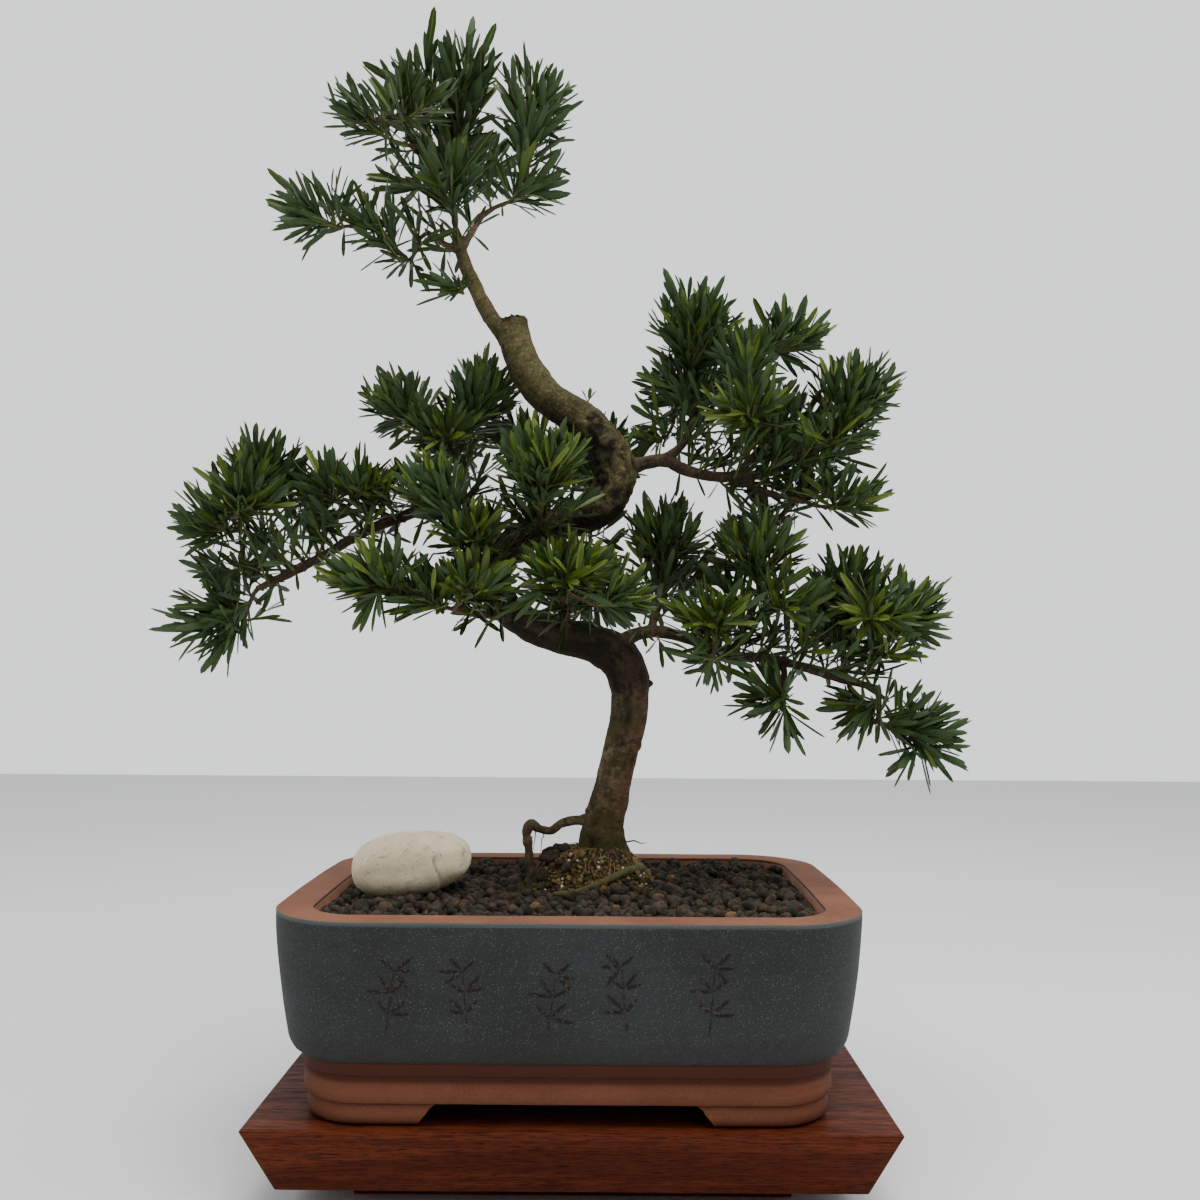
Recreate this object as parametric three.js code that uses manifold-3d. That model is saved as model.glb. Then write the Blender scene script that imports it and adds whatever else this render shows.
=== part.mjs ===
// Buddhist pine (Podocarpus) bonsai in a rounded rectangular stoneware pot on a wooden stand.
// Millimetres, +Z up, +X to the right and -Y towards someone who looks at the front.
// The origin is the centre of the stand's flat underside.
import * as THREE from "three";
import { mergeVertices } from "three/addons/utils/BufferGeometryUtils.js";
import Module from "manifold-3d";

const wasm = await Module();
wasm.setup();

// Driving dimensions

const SEAM = 0.3; // clearance between two pieces that touch

const STAND_TOP = [432, 291]; // length and depth of the wooden slab at its top
const STAND_UNDERCUT = 19.5; // how far each side leans in towards the bottom of the slab
const STAND_HEIGHT = 60.5;
const PLINTH = [300, 190]; // recessed foot under the slab
const PLINTH_HEIGHT = 15;

const POT_CENTRE_X = -3.7;
const POT_HALF = [201.5, 150]; // half length and half depth of the rim
const POT_CORNER = 58; // radius of the rim's corners
const POT_CORNER_LEAST = 12; // sharpest corner of the inner walls
const POT_ARC_STEPS = 4; // facets of each corner
const POT_BOW = [4, 1.5]; // how far the short and the long sides bow out at their middle
const POT_TOP = 195;
const RIM_HEIGHT = 2; // bare clay lip on top of the glazed wall
const RIM_WIDTH = 25;
const POT_BORE = RIM_WIDTH + 1; // inset of the inner wall
const WALL_DRAW = 12.5; // how far the short sides draw in from the rim to their foot
const WALL_POWER = 1.55; // how late they do so
const WALL_ROUND = 4; // and how far more the rounded lower edge goes in
const WALL_ROUND_FROM = 0.88; // share of the wall's height, from the rim down, where that starts
const LONG_SIDE_DRAW = 0.62; // draw of the long sides as a share of the short sides'
const WALL_STEPS = [0, 0.35, 0.65, 0.88, 0.96, 1]; // places of its rings from the rim down
const BODY_BOTTOM = 102; // where the blue-grey wall meets the terracotta base
const POT_FLOOR = 106; // inner floor that carries the soil
const BASE_BOTTOM = 75;
const FOOT_BOTTOM = STAND_HEIGHT + SEAM;
const FOOT_GAP = [88, 52]; // half width of the gaps between the feet, front and side
const FOOT_SPLAY = 9; // how far each foot tapers in towards the stand

const SOIL_LEVEL = 188;
const SOIL_INSET = POT_BORE + SEAM;
const MOUND_CENTRE = [9, 16];
const MOUND_TOP = 218.7; // level ground that the trunk stands on
const MOUND_REACH = [66, 64]; // half length and half depth of the mound's foot
const MOUND_FLAT = 0.32; // share of them that is level ground
const MOUND_STEPS = [1, 0.67, 0.33, 0]; // rings of its slope, from the foot to the top

const STONE_CENTRE = [-126.5, -19, 212];
const STONE_HALF = [46.5, 32, 25];
const STONE_TILT = 0.14; // radians, its right end higher
const STONE_TAPER = 0.12; // its left end thicker
const STONE_SHOULDERS = 0.24;

const TRUNK_SIDES = 11;
const TRUNK_STEPS = 38;
const BOUGH_SIDES = 5;
const BOUGH_STEPS = 1.3; // rings for each stretch between two stations
const COLLAR = 1.15; // swelling where a bough leaves its parent
const ROOT_SIDES = 5;
const TIP_SHARE = 0.92; // a mass's stem against the tip of the bough that it grows from

const STEM_RUN = 8; // straight start of each mass's stem
const TWIG_RADIUS = [2.6, 2.2, 1.6]; // three-sided, at its foot, its bend and its tip
const HUB_DEPTH = 0.45; // share of a lobe's size by which its leafy shoot starts below the middle
const SHOOT_LENGTH = 9; // shortest leafy shoot
const LEAVES_PER_LOBE = 6; // on a lobe of LOBE_GIRTH
const LOBE_GIRTH = 32;
const FIRST_LEAN = 0.08; // lean of the leaf at a shoot's very end, in radians
const LEAF_SPREAD = [0.32, 1.85]; // lean of the highest and the lowest of the others
const LEAN_JITTER = 0.2;
const LEAF_LENGTH = [20, 58]; // shortest and longest
const LEAF_LEAST = 0.7; // shortest in a lobe too small for that, as a share of its girth
const LEAF_WIDTH = 16; // each leaf stands for a tuft of narrow ones
const LEAF_NARROWEST = 0.7; // share of that width on the shortest
const LEAF_INSET = 2; // first leaf below the shoot's end
const SHOOT_ROOM = 0.85; // share of a leaf's length between a shoot's end and its lobe's surface
const TIP_LEAF_ROOT = 0.4; // share of the shoot below the root of a leaf to a furthest tip
const LEAF_THICKNESS = 2;
const LEAF_WAIST = 0.6; // share of its length where a leaf is widest
const LEAF_TRIES = 7; // turns tried before a leaf is skipped
const TRY_TURN = 1.1; // from one try to the next, radians
const ROOT_SINK = 0.6; // depth of a leaf's root and a twig's foot past the midline they grow from
const LOBE_HEADING = [0.55, 0.6]; // a lobe's shoot leans away from its parent and up, in these shares
const WELD = 0.04; // slivers finer than this are smoothed away where leaves meet twigs
const TURN = Math.PI * (3 - Math.sqrt(5)); // golden angle from one leaf to the next
const SEED = 1000;
const UP = new THREE.Vector3(0, 0, 1);

// Trunk: stations [x, y, z, radius] from below the ground cut to the flat cut stub

const TRUNK = [
  [21, 21, 204, 25], [19.5, 21, 220, 19], [20, 20, 236, 16.4], [26, 19, 265, 14.5],
  [34.5, 17, 301, 14], [40, 15, 330, 14.9], [40, 14, 351, 16.1], [32, 15, 370, 16.5],
  [13, 18, 381, 15.7], [-16, 22, 388, 14.6], [-43, 26, 398, 13.4], [-63, 28, 414, 13.0],
  [-70, 26, 435, 12.6], [-61, 20, 456, 12.5], [-41, 12, 469, 12.8], [-16, 6, 477, 13.5],
  [6, 2, 485, 14.7], [22, 0, 498, 16.2], [28, 0, 516, 16.8], [21, 0, 537, 16.2],
  [2, 0, 560, 14.6], [-26, 2, 578, 13.9], [-40, 4, 595, 14.3], [-50, 5, 614, 13.5],
  [-54, 6, 629, 12.7], [-55, 6, 645, 11.0],
];

// Boughs: the limb each grows from, its radius at root and tip, and its centreline

const BOUGHS = {
  leader: ["trunk", 7.2, 5.0, [[-54, 6, 620], [-66, 4, 634], [-77, 3, 651], [-83, 2, 662],
    [-89, 1, 674], [-94, 0, 685], [-98, 0, 697], [-101, 0, 709]]],
  crown_left_branch: ["leader", 3.2, 2.4, [[-98, 0, 697], [-111, 2, 704], [-119, 4, 710]]],
  crown_right_branch: ["leader", 3.2, 2.6, [[-98.5, 0, 699], [-91, -1, 711], [-85, 0, 722]]],
  bough_left: ["trunk", 5.8, 3.2, [[-66, 24, 446], [-83, 18, 471], [-102, 14, 483], [-125, 10, 488],
    [-149, 6, 480], [-176, 4, 468], [-203, 2, 451], [-226, 0, 438], [-247, -3, 427]]],
  bough_left_upper: ["bough_left", 3.6, 2.6, [[-91, 16, 477], [-95, 12, 505], [-100, 12, 528]]],
  bough_left_mid: ["bough_left", 2.8, 2.3, [[-149, 6, 480], [-164, 4, 487], [-175, 2, 491]]],
  bough_left_outer: ["bough_left", 2.9, 2.3, [[-226, 0, 438], [-246, 2, 453], [-260, 4, 464]]],
  bough_front_left: ["trunk", 5.4, 3.6, [[-52, 26, 404], [-66, 8, 404], [-79, -8, 405], [-91, -28, 406]]],
  bough_front_low: ["trunk", 4.2, 3.0, [[-12, 20, 387], [-11, -2, 398], [-10, -20, 405], [-12, -42, 414]]],
  bough_front_centre: ["trunk", 4.4, 3.2,
    [[-39, 11, 469], [-35, -6, 467], [-33, -22, 467], [-30, -44, 472]]],
  bough_centre_left: ["trunk", 3.8, 2.8, [[-69, 25, 440], [-72, 5, 443], [-75, -10, 446], [-81, -34, 450]]],
  bough_right_low: ["trunk", 5.8, 2.9, [[26, 16, 375], [34, 13, 384], [48, 8, 390], [65, 2, 391],
    [87, -4, 385], [120, -10, 372], [145, -12, 371], [174, -12, 364], [203, -12, 355], [223, -12, 350]]],
  bough_right_inner: ["bough_right_low", 3.2, 2.5, [[57, 5, 390.5], [60, 12, 412], [64, 16, 429]]],
  bough_right_low_front: ["bough_right_low", 3.2, 2.5, [[87, -4, 385], [91, -22, 390], [97, -36, 391]]],
  bough_right_centre: ["bough_right_low", 3.2, 2.6, [[118, -10, 372.5], [128, -16, 392], [135, -22, 411]]],
  bough_right_hanging: ["bough_right_low", 2.6, 2.2, [[157, -12, 368], [159, -18, 360], [158, -22, 351]]],
  bough_right_low_outer: ["bough_right_low", 2.8, 2.3, [[196, -12, 357.5], [217, -8, 367], [232, -4, 376]]],
  bough_right_upper: ["trunk", 7.0, 2.7, [[30, 0, 519], [42, 0, 523], [55, 0, 527], [68, 0, 528],
    [81, 2, 522], [105, 4, 516], [128, 4, 516], [150, 4, 519], [171, 2, 528], [187, 0, 536]]],
  bough_right_top: ["bough_right_upper", 4.2, 3.2, [[66, 0, 528], [81, 0, 541], [89, 2, 558]]],
  bough_right_top_mid: ["bough_right_upper", 3.4, 2.6, [[124, 4, 516], [137, 2, 531], [148, 2, 545]]],
  bough_right_mid: ["bough_right_upper", 3.2, 2.5, [[126, 4, 516], [145, 4, 505], [169, 2, 498]]],
  bough_back: ["trunk", 5.4, 3.8, [[26, 2, 512], [19, 26, 512], [12, 58, 512]]],
};

// Foliage: the limb each mass grows from, and its lobes as [centre, half size along x, y and z]

const MASSES = {
  crown_top: ["leader", [
    [[-104, -28, 757], [34, 28, 34]], [[-105, 40, 801], [37, 30, 41]], [[-177, -6, 812], [30, 28, 33]],
    [[-100, 0, 841], [33, 34, 46]], [[-142, 22, 848], [31, 30, 39]], [[-130, -56, 797], [32, 30, 33]],
    [[-86, 74, 806], [32, 32, 34]], [[-150, 62, 788], [32, 30, 32]]]],
  crown_right: ["crown_right_branch", [[[-43, -6, 756], [31, 30, 33]], [[-42, 8, 835], [32, 32, 32]]]],
  crown_left: ["crown_left_branch", [
    [[-150, 2, 698], [19, 20, 19]], [[-170, 6, 730], [32, 26, 27]], [[-215, -8, 731], [36, 26, 31]]]],
  leader_sprig: ["leader", [[[-101, -6, 669], [19, 15, 16]]]],
  left_upper: ["bough_left_upper", [
    [[-112, -8, 554], [28, 28, 27]], [[-149, 20, 581], [32, 34, 34]], [[-83, 28, 591], [29, 30, 41]],
    [[-112, 72, 560], [32, 30, 32]]]],
  left_mid: ["bough_left_mid", [[[-168, -8, 509], [27, 26, 25]], [[-207, 12, 509], [30, 28, 29]]]],
  left_outer: ["bough_left_outer", [
    [[-287, -14, 482], [31, 32, 33]], [[-255, 8, 526], [35, 32, 33]], [[-282, 25, 448], [39, 32, 28]],
    [[-228, 58, 494], [30, 30, 30]], [[-248, -54, 496], [31, 30, 31]]]],
  left_tip: ["bough_left", [[[-287, -5, 398], [49, 30, 35]]]],
  centre_left: ["bough_centre_left", [[[-81, -55, 468], [30, 28, 25]], [[-110, -45, 505], [29, 26, 27]]]],
  front_centre: ["bough_front_centre", [[[-27, -70, 518], [35, 34, 34]]]],
  front_low: ["bough_front_low", [[[-9, -75, 440], [35, 34, 28]], [[31, -40, 421], [26, 28, 30]]]],
  front_left: ["bough_front_left", [
    [[-116, -45, 423], [32, 28, 30]], [[-153, -60, 435], [38, 28, 31]], [[-72, -70, 431], [28, 28, 26]]]],
  right_top: ["bough_right_top", [
    [[83, 22, 601], [37, 30, 32]], [[58, 26, 556], [19, 20, 26]], [[91, -5, 642], [36, 34, 39]],
    [[92, 70, 606], [34, 30, 34]]]],
  right_top_mid: ["bough_right_top_mid", [
    [[126, -45, 566], [33, 26, 29]], [[173, 36, 569], [37, 30, 31]], [[129, -18, 617], [26, 26, 28]],
    [[168, 6, 635], [32, 30, 33]], [[150, 78, 585], [32, 28, 30]]]],
  right_top_outer: ["bough_right_upper", [[[199, -20, 549], [34, 28, 26]], [[219, 0, 590], [38, 30, 33]],
    [[196, 66, 552], [32, 30, 30]]]],
  right_mid: ["bough_right_mid", [
    [[178, 20, 516], [29, 24, 21]], [[211, -8, 502], [33, 28, 28]], [[150, 60, 486], [30, 28, 28]]]],
  right_inner: ["bough_right_inner", [[[68, 18, 474], [34, 32, 37]], [[92, 66, 446], [30, 28, 28]]]],
  right_centre: ["bough_right_centre", [[[136, -22, 462], [39, 32, 32]], [[160, -38, 418], [33, 28, 26]]]],
  right_low_front: ["bough_right_low_front", [
    [[101, -36, 372], [33, 26, 24]], [[101, -58, 407], [36, 30, 27]]]],
  right_low_outer: ["bough_right_low_outer", [
    [[234, -16, 381], [34, 24, 19]], [[200, 30, 399], [29, 26, 24]], [[259, 6, 414], [35, 30, 33]],
    [[213, -4, 434], [35, 30, 31]], [[222, -60, 412], [32, 28, 30]], [[214, 74, 420], [32, 30, 30]]]],
  right_hanging: ["bough_right_hanging", [[[147, -24, 342], [37, 26, 31]]]],
  right_tip: ["bough_right_low", [[[217, -10, 326], [33, 24, 27]], [[274, -14, 314], [33, 26, 34]]]],
  back: ["bough_back", [
    [[6, 80, 548], [47, 36, 52]], [[-54, 75, 568], [34, 34, 34]], [[16, 78, 434], [51, 36, 34]]]],
};

// The crown's top and furthest tips: a leaf of the mass ends at each
const TIPS = {
  crown_top: [[-123, 0, 904], [-92, 10, 902], [-72, 0, 890], [-212, -6, 824], [-184, 10, 862]],
  crown_right: [[-5, 8, 842], [-10, -6, 755], [-50, 8, 880]],
  crown_left: [[-255, -8, 763], [-256, -8, 737], [-248, -4, 716]],
  leader_sprig: [[-117, -6, 672]],
  left_upper: [[-159, 20, 614], [-77, 28, 633]],
  left_mid: [[-208, 12, 543]],
  left_outer: [[-276, 8, 557], [-314, -10, 508], [-323, 2, 462]],
  left_tip: [[-338, -8, 407], [-340, -5, 390], [-298, -5, 357]],
  front_left: [[-198, -60, 428], [-167, -60, 390]],
  front_low: [[-70, -62, 392]],
  right_top: [[65, -5, 684], [115, -5, 678]],
  right_top_mid: [[164, 6, 668], [201, 6, 633]],
  right_top_outer: [[248, 0, 620], [262, 0, 602]],
  right_mid: [[245, -8, 512]],
  right_low_outer: [[298, 6, 438], [277, 0, 389]],
  right_hanging: [[161, -24, 308], [110, -24, 334]],
  right_tip: [[305, -14, 324], [302, -14, 284], [245, -14, 284]],
};
const SPRIG_ROOT = [-87.5, 1, 671]; // on the leader's midline, where its small side sprig grows
const SPRIG_OFFSET = 6.4; // from that midline to the bark
const SPRIG_RUN = 4; // of its stem before the fork

// Roots that show above the soil

const ARCHED_ROOT = [[6, 17, 241, 4.1], [-10, 13, 240, 3.9], [-22, 9, 234, 3.2], [-34, 6, 238, 3.4],
  [-38, 5, 236, 3.9], [-39, 4, 226, 3.6], [-38, 4, 210, 3.5], [-37, 4, 192, 3.5]];
const SURFACE_ROOT_ROUTE = [[50, 6], [39, -12], [27, -24], [13, -32], [-2, -36], [-17, -37]];
const SURFACE_ROOT_RADIUS = [3.4, 2.0];
const ROOT_RISE = 1.2; // height of the surface root's middle above the soil

// Finishes: colour, roughness

const FINISH = {
  bark: [0x6b5a44, 0.85],
  foliage: [0x2f5524, 0.5],
  stoneware: [0x46565a, 0.75],
  terracotta: [0xa5613f, 0.85],
  soil: [0x3a302a, 0.95],
  stone: [0xdcd6c6, 0.7],
  wood: [0x6a2c1c, 0.45],
};

// Solids: closed surfaces handed to the boolean library and back

const vector = ([x, y, z]) => new THREE.Vector3(x, y, z);
const mix = (a, b, share) => a + (b - a) * share;

function solidFrom(geometry) {
  const shell = new THREE.BufferGeometry();
  shell.setAttribute("position", geometry.getAttribute("position").clone());
  shell.setIndex(geometry.getIndex());
  const welded = mergeVertices(shell, 1e-4);
  const mesh = new wasm.Mesh({
    numProp: 3,
    vertProperties: new Float32Array(welded.getAttribute("position").array),
    triVerts: new Uint32Array(welded.getIndex().array),
  });
  return new wasm.Manifold(mesh);
}

// The largest whole piece: loose scraps are dropped and sealed hollows are filled.
function largestPiece(solid) {
  const pieces = solid.decompose();
  return pieces.reduce((best, piece) => (piece.volume() > best.volume() ? piece : best));
}

function meshFrom(name, solid, finish) {
  const { vertProperties, triVerts } = solid.getMesh();
  const geometry = new THREE.BufferGeometry();
  geometry.setAttribute("position", new THREE.BufferAttribute(vertProperties, 3));
  geometry.setIndex(new THREE.BufferAttribute(triVerts, 1));
  geometry.computeVertexNormals();
  const [color, roughness] = FINISH[finish];
  const material = new THREE.MeshStandardMaterial({ color, roughness, metalness: 0, flatShading: true });
  const mesh = new THREE.Mesh(geometry, material);
  mesh.name = name;
  return mesh;
}

// A skin over a stack of rings that all have the same number of points. Its ends are closed to
// their middles, or the last ring joins the first one where the stack is a closed loop.
function skinOver(rings, looped = false) {
  const count = rings[0].length;
  const positions = rings.flat().flatMap((p) => [p.x, p.y, p.z]);
  const faces = [];
  const spans = looped ? rings.length : rings.length - 1;
  for (let k = 0; k < spans; k += 1) {
    const low = k * count;
    const high = ((k + 1) % rings.length) * count;
    for (let i = 0; i < count; i += 1) {
      const j = (i + 1) % count;
      faces.push(low + i, low + j, high + j, low + i, high + j, high + i);
    }
  }
  if (!looped) {
    for (const [ring, flip] of [[0, true], [rings.length - 1, false]]) {
      if (count === 3) {
        const low = ring * count;
        faces.push(low, low + (flip ? 2 : 1), low + (flip ? 1 : 2));
        continue;
      }
      const middle = positions.length / 3;
      const centre = new THREE.Vector3();
      rings[ring].forEach((p) => centre.addScaledVector(p, 1 / count));
      positions.push(centre.x, centre.y, centre.z);
      for (let i = 0; i < count; i += 1) {
        const a = ring * count + i;
        const b = ring * count + ((i + 1) % count);
        faces.push(middle, flip ? b : a, flip ? a : b);
      }
    }
  }
  const geometry = new THREE.BufferGeometry();
  geometry.setAttribute("position", new THREE.Float32BufferAttribute(positions, 3));
  geometry.setIndex(faces);
  return solidFrom(geometry);
}

// Pot, stand, soil and stone

// One ring of the pot's plan: a rectangle with round corners whose sides bow out a little. Its
// short sides stand insetX in from the rim, and its long sides insetY.
function potRing(insetX, insetY, z) {
  const half = POT_HALF;
  const ring = [];
  const corner = Math.max(POT_CORNER - (insetX + insetY) / 2, POT_CORNER_LEAST);
  const straight = [half[0] - insetX - corner, half[1] - insetY - corner];
  for (let quarter = 0; quarter < 4; quarter += 1) {
    const signX = quarter === 0 || quarter === 3 ? 1 : -1;
    const signY = quarter < 2 ? 1 : -1;
    for (let step = 0; step <= POT_ARC_STEPS; step += 1) {
      const angle = (quarter + step / POT_ARC_STEPS) * (Math.PI / 2);
      const x = signX * straight[0] + corner * Math.cos(angle);
      const y = signY * straight[1] + corner * Math.sin(angle);
      ring.push([x, y]);
    }
    const alongX = quarter % 2 === 0;
    const last = ring[ring.length - 1];
    const middle = alongX ? [0, last[1]] : [last[0], 0];
    ring.push(middle);
  }
  return ring.map(([x, y]) => {
    const bowX = POT_BOW[0] * Math.sign(x) * (1 - (y / half[1]) ** 2) * (Math.abs(x) / half[0]);
    const bowY = POT_BOW[1] * Math.sign(y) * (1 - (x / half[0]) ** 2) * (Math.abs(y) / half[1]);
    return new THREE.Vector3(POT_CENTRE_X + x + bowX, y + bowY, z);
  });
}

const potStack = (profile, looped) => skinOver(profile.map((row) => potRing(...row)), looped);

// How far the short sides draw in, a share of the way down from under the rim to the wall's foot.
function wallInset(fall) {
  const turn = Math.max(0, (fall - WALL_ROUND_FROM) / (1 - WALL_ROUND_FROM));
  return WALL_DRAW * fall ** WALL_POWER + WALL_ROUND * turn * turn;
}

function makePotBody() {
  const top = POT_TOP - RIM_HEIGHT;
  const profile = [];
  for (const share of [...WALL_STEPS].reverse()) {
    const inset = wallInset(share);
    profile.push([inset, inset * LONG_SIDE_DRAW, mix(top, BODY_BOTTOM, share)]);
  }
  profile.push([POT_BORE, POT_BORE, top], [POT_BORE, POT_BORE, POT_FLOOR]);
  return potStack(profile, false);
}

function makePotRim() {
  const low = POT_TOP - RIM_HEIGHT + SEAM;
  return potStack([
    [0, 0, low], [0, 0, POT_TOP - 0.8], [1, 1, POT_TOP], [RIM_WIDTH - 1, RIM_WIDTH - 1, POT_TOP],
    [RIM_WIDTH, RIM_WIDTH, POT_TOP - 0.8], [RIM_WIDTH, RIM_WIDTH, low],
  ], true);
}

// Terracotta base: a cove under the wall, a round bead, and a groove above the feet.
function makePotBase() {
  const top = BODY_BOTTOM - SEAM;
  return potStack([
    [26, 14.5, BASE_BOTTOM], [23.5, 12, BASE_BOTTOM + 2.5], [22.8, 11, BASE_BOTTOM + 8],
    [23.3, 12, BASE_BOTTOM + 12.5], [22.2, 15, BASE_BOTTOM + 15.5], [21, 14.5, BASE_BOTTOM + 22],
    [20.5, 12.8, top],
  ], false);
}

function boxBetween([x0, y0, z0], [x1, y1, z1]) {
  const box = new THREE.BoxGeometry(x1 - x0, y1 - y0, z1 - z0);
  box.translate((x0 + x1) / 2, (y0 + y1) / 2, (z0 + z1) / 2);
  return solidFrom(box);
}

// A block with upright outer sides whose inner corner leans away from the middle as it goes down.
function footBlock(signX, signY) {
  const far = POT_HALF[0] + 60; // past the pot's outline on every side
  const top = BASE_BOTTOM - SEAM;
  const rings = [FOOT_BOTTOM, top].map((z) => {
    const lean = mix(FOOT_SPLAY, 0, (z - FOOT_BOTTOM) / (top - FOOT_BOTTOM));
    const inner = [FOOT_GAP[0] + lean, FOOT_GAP[1] + lean];
    const corners = [[inner[0], inner[1]], [far, inner[1]], [far, far], [inner[0], far]];
    const placed = corners.map(([x, y]) => new THREE.Vector3(POT_CENTRE_X + signX * x, signY * y, z));
    return signX * signY > 0 ? placed : placed.reverse();
  });
  return skinOver(rings);
}

function makePotFoot(signX, signY) {
  const slab = potStack([
    [29, 18, FOOT_BOTTOM], [26, 14.5, FOOT_BOTTOM + 2], [25, 13, FOOT_BOTTOM + 8],
    [27, 15, BASE_BOTTOM - SEAM],
  ], false);
  return slab.intersect(footBlock(signX, signY));
}

function makeSlab() {
  const half = STAND_TOP.map((side) => side / 2);
  const lip = 1.2; // softened upper edge
  const rings = [
    [STAND_UNDERCUT, PLINTH_HEIGHT + SEAM], [lip * 0.3, STAND_HEIGHT - lip], [lip, STAND_HEIGHT],
  ].map(([inset, z]) => rectangle(half[0] - inset, half[1] - inset, z));
  return skinOver(rings);
}

function rectangle(halfX, halfY, z) {
  const corners = [[halfX, halfY], [-halfX, halfY], [-halfX, -halfY], [halfX, -halfY]];
  return corners.map(([x, y]) => new THREE.Vector3(x, y, z));
}

const makePlinth = () => boxBetween(
  [-PLINTH[0] / 2, -PLINTH[1] / 2, 0], [PLINTH[0] / 2, PLINTH[1] / 2, PLINTH_HEIGHT]);

// Height of the soil: level, with an oval mound under the trunk.
function soilHeight(x, y) {
  const spanX = (x - MOUND_CENTRE[0]) / MOUND_REACH[0];
  const spanY = (y - MOUND_CENTRE[1]) / MOUND_REACH[1];
  const fall = (Math.hypot(spanX, spanY) - MOUND_FLAT) / (1 - MOUND_FLAT);
  const eased = THREE.MathUtils.smoothstep(fall, 0, 1);
  return mix(MOUND_TOP, SOIL_LEVEL, eased);
}

function makeSoil() {
  const edge = potRing(SOIL_INSET, SOIL_INSET, 0);
  const edgeAt = (z) => edge.map((p) => new THREE.Vector3(p.x, p.y, z));
  const rings = [edgeAt(POT_FLOOR + SEAM), edgeAt(SOIL_LEVEL)];
  for (const step of MOUND_STEPS) {
    const share = mix(MOUND_FLAT, 1, step);
    rings.push(edge.map((p) => {
      const turn = Math.atan2(p.y - MOUND_CENTRE[1], p.x - MOUND_CENTRE[0]);
      const x = MOUND_CENTRE[0] + Math.cos(turn) * share * MOUND_REACH[0];
      const y = MOUND_CENTRE[1] + Math.sin(turn) * share * MOUND_REACH[1];
      return new THREE.Vector3(x, y, soilHeight(x, y));
    }));
  }
  return skinOver(rings);
}

function makeStone() {
  const egg = new THREE.SphereGeometry(1, 12, 8);
  egg.rotateX(Math.PI / 2);
  const points = egg.attributes.position;
  for (let k = 0; k < points.count; k++) {
    const x = points.getX(k);
    points.setZ(k, points.getZ(k) * (1 - STONE_TAPER * x) * (1 + STONE_SHOULDERS * x * x));
  }
  egg.scale(...STONE_HALF);
  egg.rotateY(-STONE_TILT);
  egg.translate(...STONE_CENTRE);
  return solidFrom(egg).trimByPlane([0, 0, 1], SOIL_LEVEL + SEAM);
}

// Limbs

// A tapering tube along a smooth curve through stations [x, y, z, radius]. To cut a neighbour
// clear of it, the same tube is swollen all over.
function limbSolid(stations, sides, steps, swell = 0) {
  const curve = new THREE.CatmullRomCurve3(stations.map(vector), false, "centripetal");
  const rings = [];
  let across = new THREE.Vector3(0, 1, 0);
  for (let k = 0; k <= steps; k += 1) {
    const t = k / steps;
    const along = curve.getTangent(t);
    across = across.clone().addScaledVector(along, -across.dot(along)).normalize();
    const third = new THREE.Vector3().crossVectors(along, across);
    const radius = radiusAt(stations, t) + swell;
    const beyond = k === 0 ? -swell : k === steps ? swell : 0;
    const middle = curve.getPoint(t).addScaledVector(along, beyond);
    const ring = [];
    for (let i = 0; i < sides; i += 1) {
      const angle = (i / sides) * 2 * Math.PI;
      const point = middle.clone().addScaledVector(across, radius * Math.cos(angle));
      ring.push(point.addScaledVector(third, radius * Math.sin(angle)));
    }
    rings.push(ring);
  }
  return skinOver(rings);
}

function radiusAt(stations, t) {
  const place = t * (stations.length - 1);
  const low = Math.min(Math.floor(place), stations.length - 2);
  return mix(stations[low][3], stations[low + 1][3], place - low);
}

// Stations of a bough: an even taper with a small collar where it leaves its parent.
function boughStations([, root, tip, route]) {
  return route.map((point, i) => {
    const collar = i === 0 ? COLLAR : 1;
    return [...point, mix(root, tip, i / (route.length - 1)) * collar];
  });
}

// What is taken already: solids that each later twig and leaf keeps the seam to
const taken = [];

const take = (owner, solid) => taken.push({ owner, solid, box: solid.boundingBox() });

function isClear(owner, solid) {
  const box = solid.boundingBox();
  return taken.every((other) => {
    if (other.owner === owner) {
      return true;
    }
    const apart = [0, 1, 2].some((axis) => (
      box.min[axis] > other.box.max[axis] + SEAM || other.box.min[axis] > box.max[axis] + SEAM));
    return apart || solid.minGap(other.solid, 2 * SEAM) >= SEAM;
  });
}

// Foliage: stem, hubs, shoots and leaves, all by one seeded rule

function seeded(seed) {
  let state = seed >>> 0;
  return () => {
    state = (state + 0x6d2b79f5) >>> 0;
    let mixed = Math.imul(state ^ (state >>> 15), state | 1);
    mixed ^= mixed + Math.imul(mixed ^ (mixed >>> 7), mixed | 61);
    return ((mixed ^ (mixed >>> 14)) >>> 0) / 4294967296;
  };
}

// A direction that leans by polar from the axis and is turned about it by azimuth.
function leaning(axis, polar, azimuth) {
  const helper = Math.abs(axis.z) > 0.9 ? new THREE.Vector3(1, 0, 0) : UP;
  const side = new THREE.Vector3().crossVectors(helper, axis).normalize();
  const third = new THREE.Vector3().crossVectors(axis, side);
  return axis.clone().multiplyScalar(Math.cos(polar))
    .addScaledVector(side, Math.sin(polar) * Math.cos(azimuth))
    .addScaledVector(third, Math.sin(polar) * Math.sin(azimuth));
}

// How far it is from a point inside a lobe to its surface along a direction.
function runToSurface(lobe, point, direction) {
  const from = point.clone().sub(lobe.centre).divide(lobe.half);
  const step = direction.clone().divide(lobe.half);
  const a = step.dot(step);
  const b = from.dot(step);
  const c = from.dot(from) - 1;
  const root = b * b - a * c;
  return root > 0 ? (-b + Math.sqrt(root)) / a : 0;
}

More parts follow.
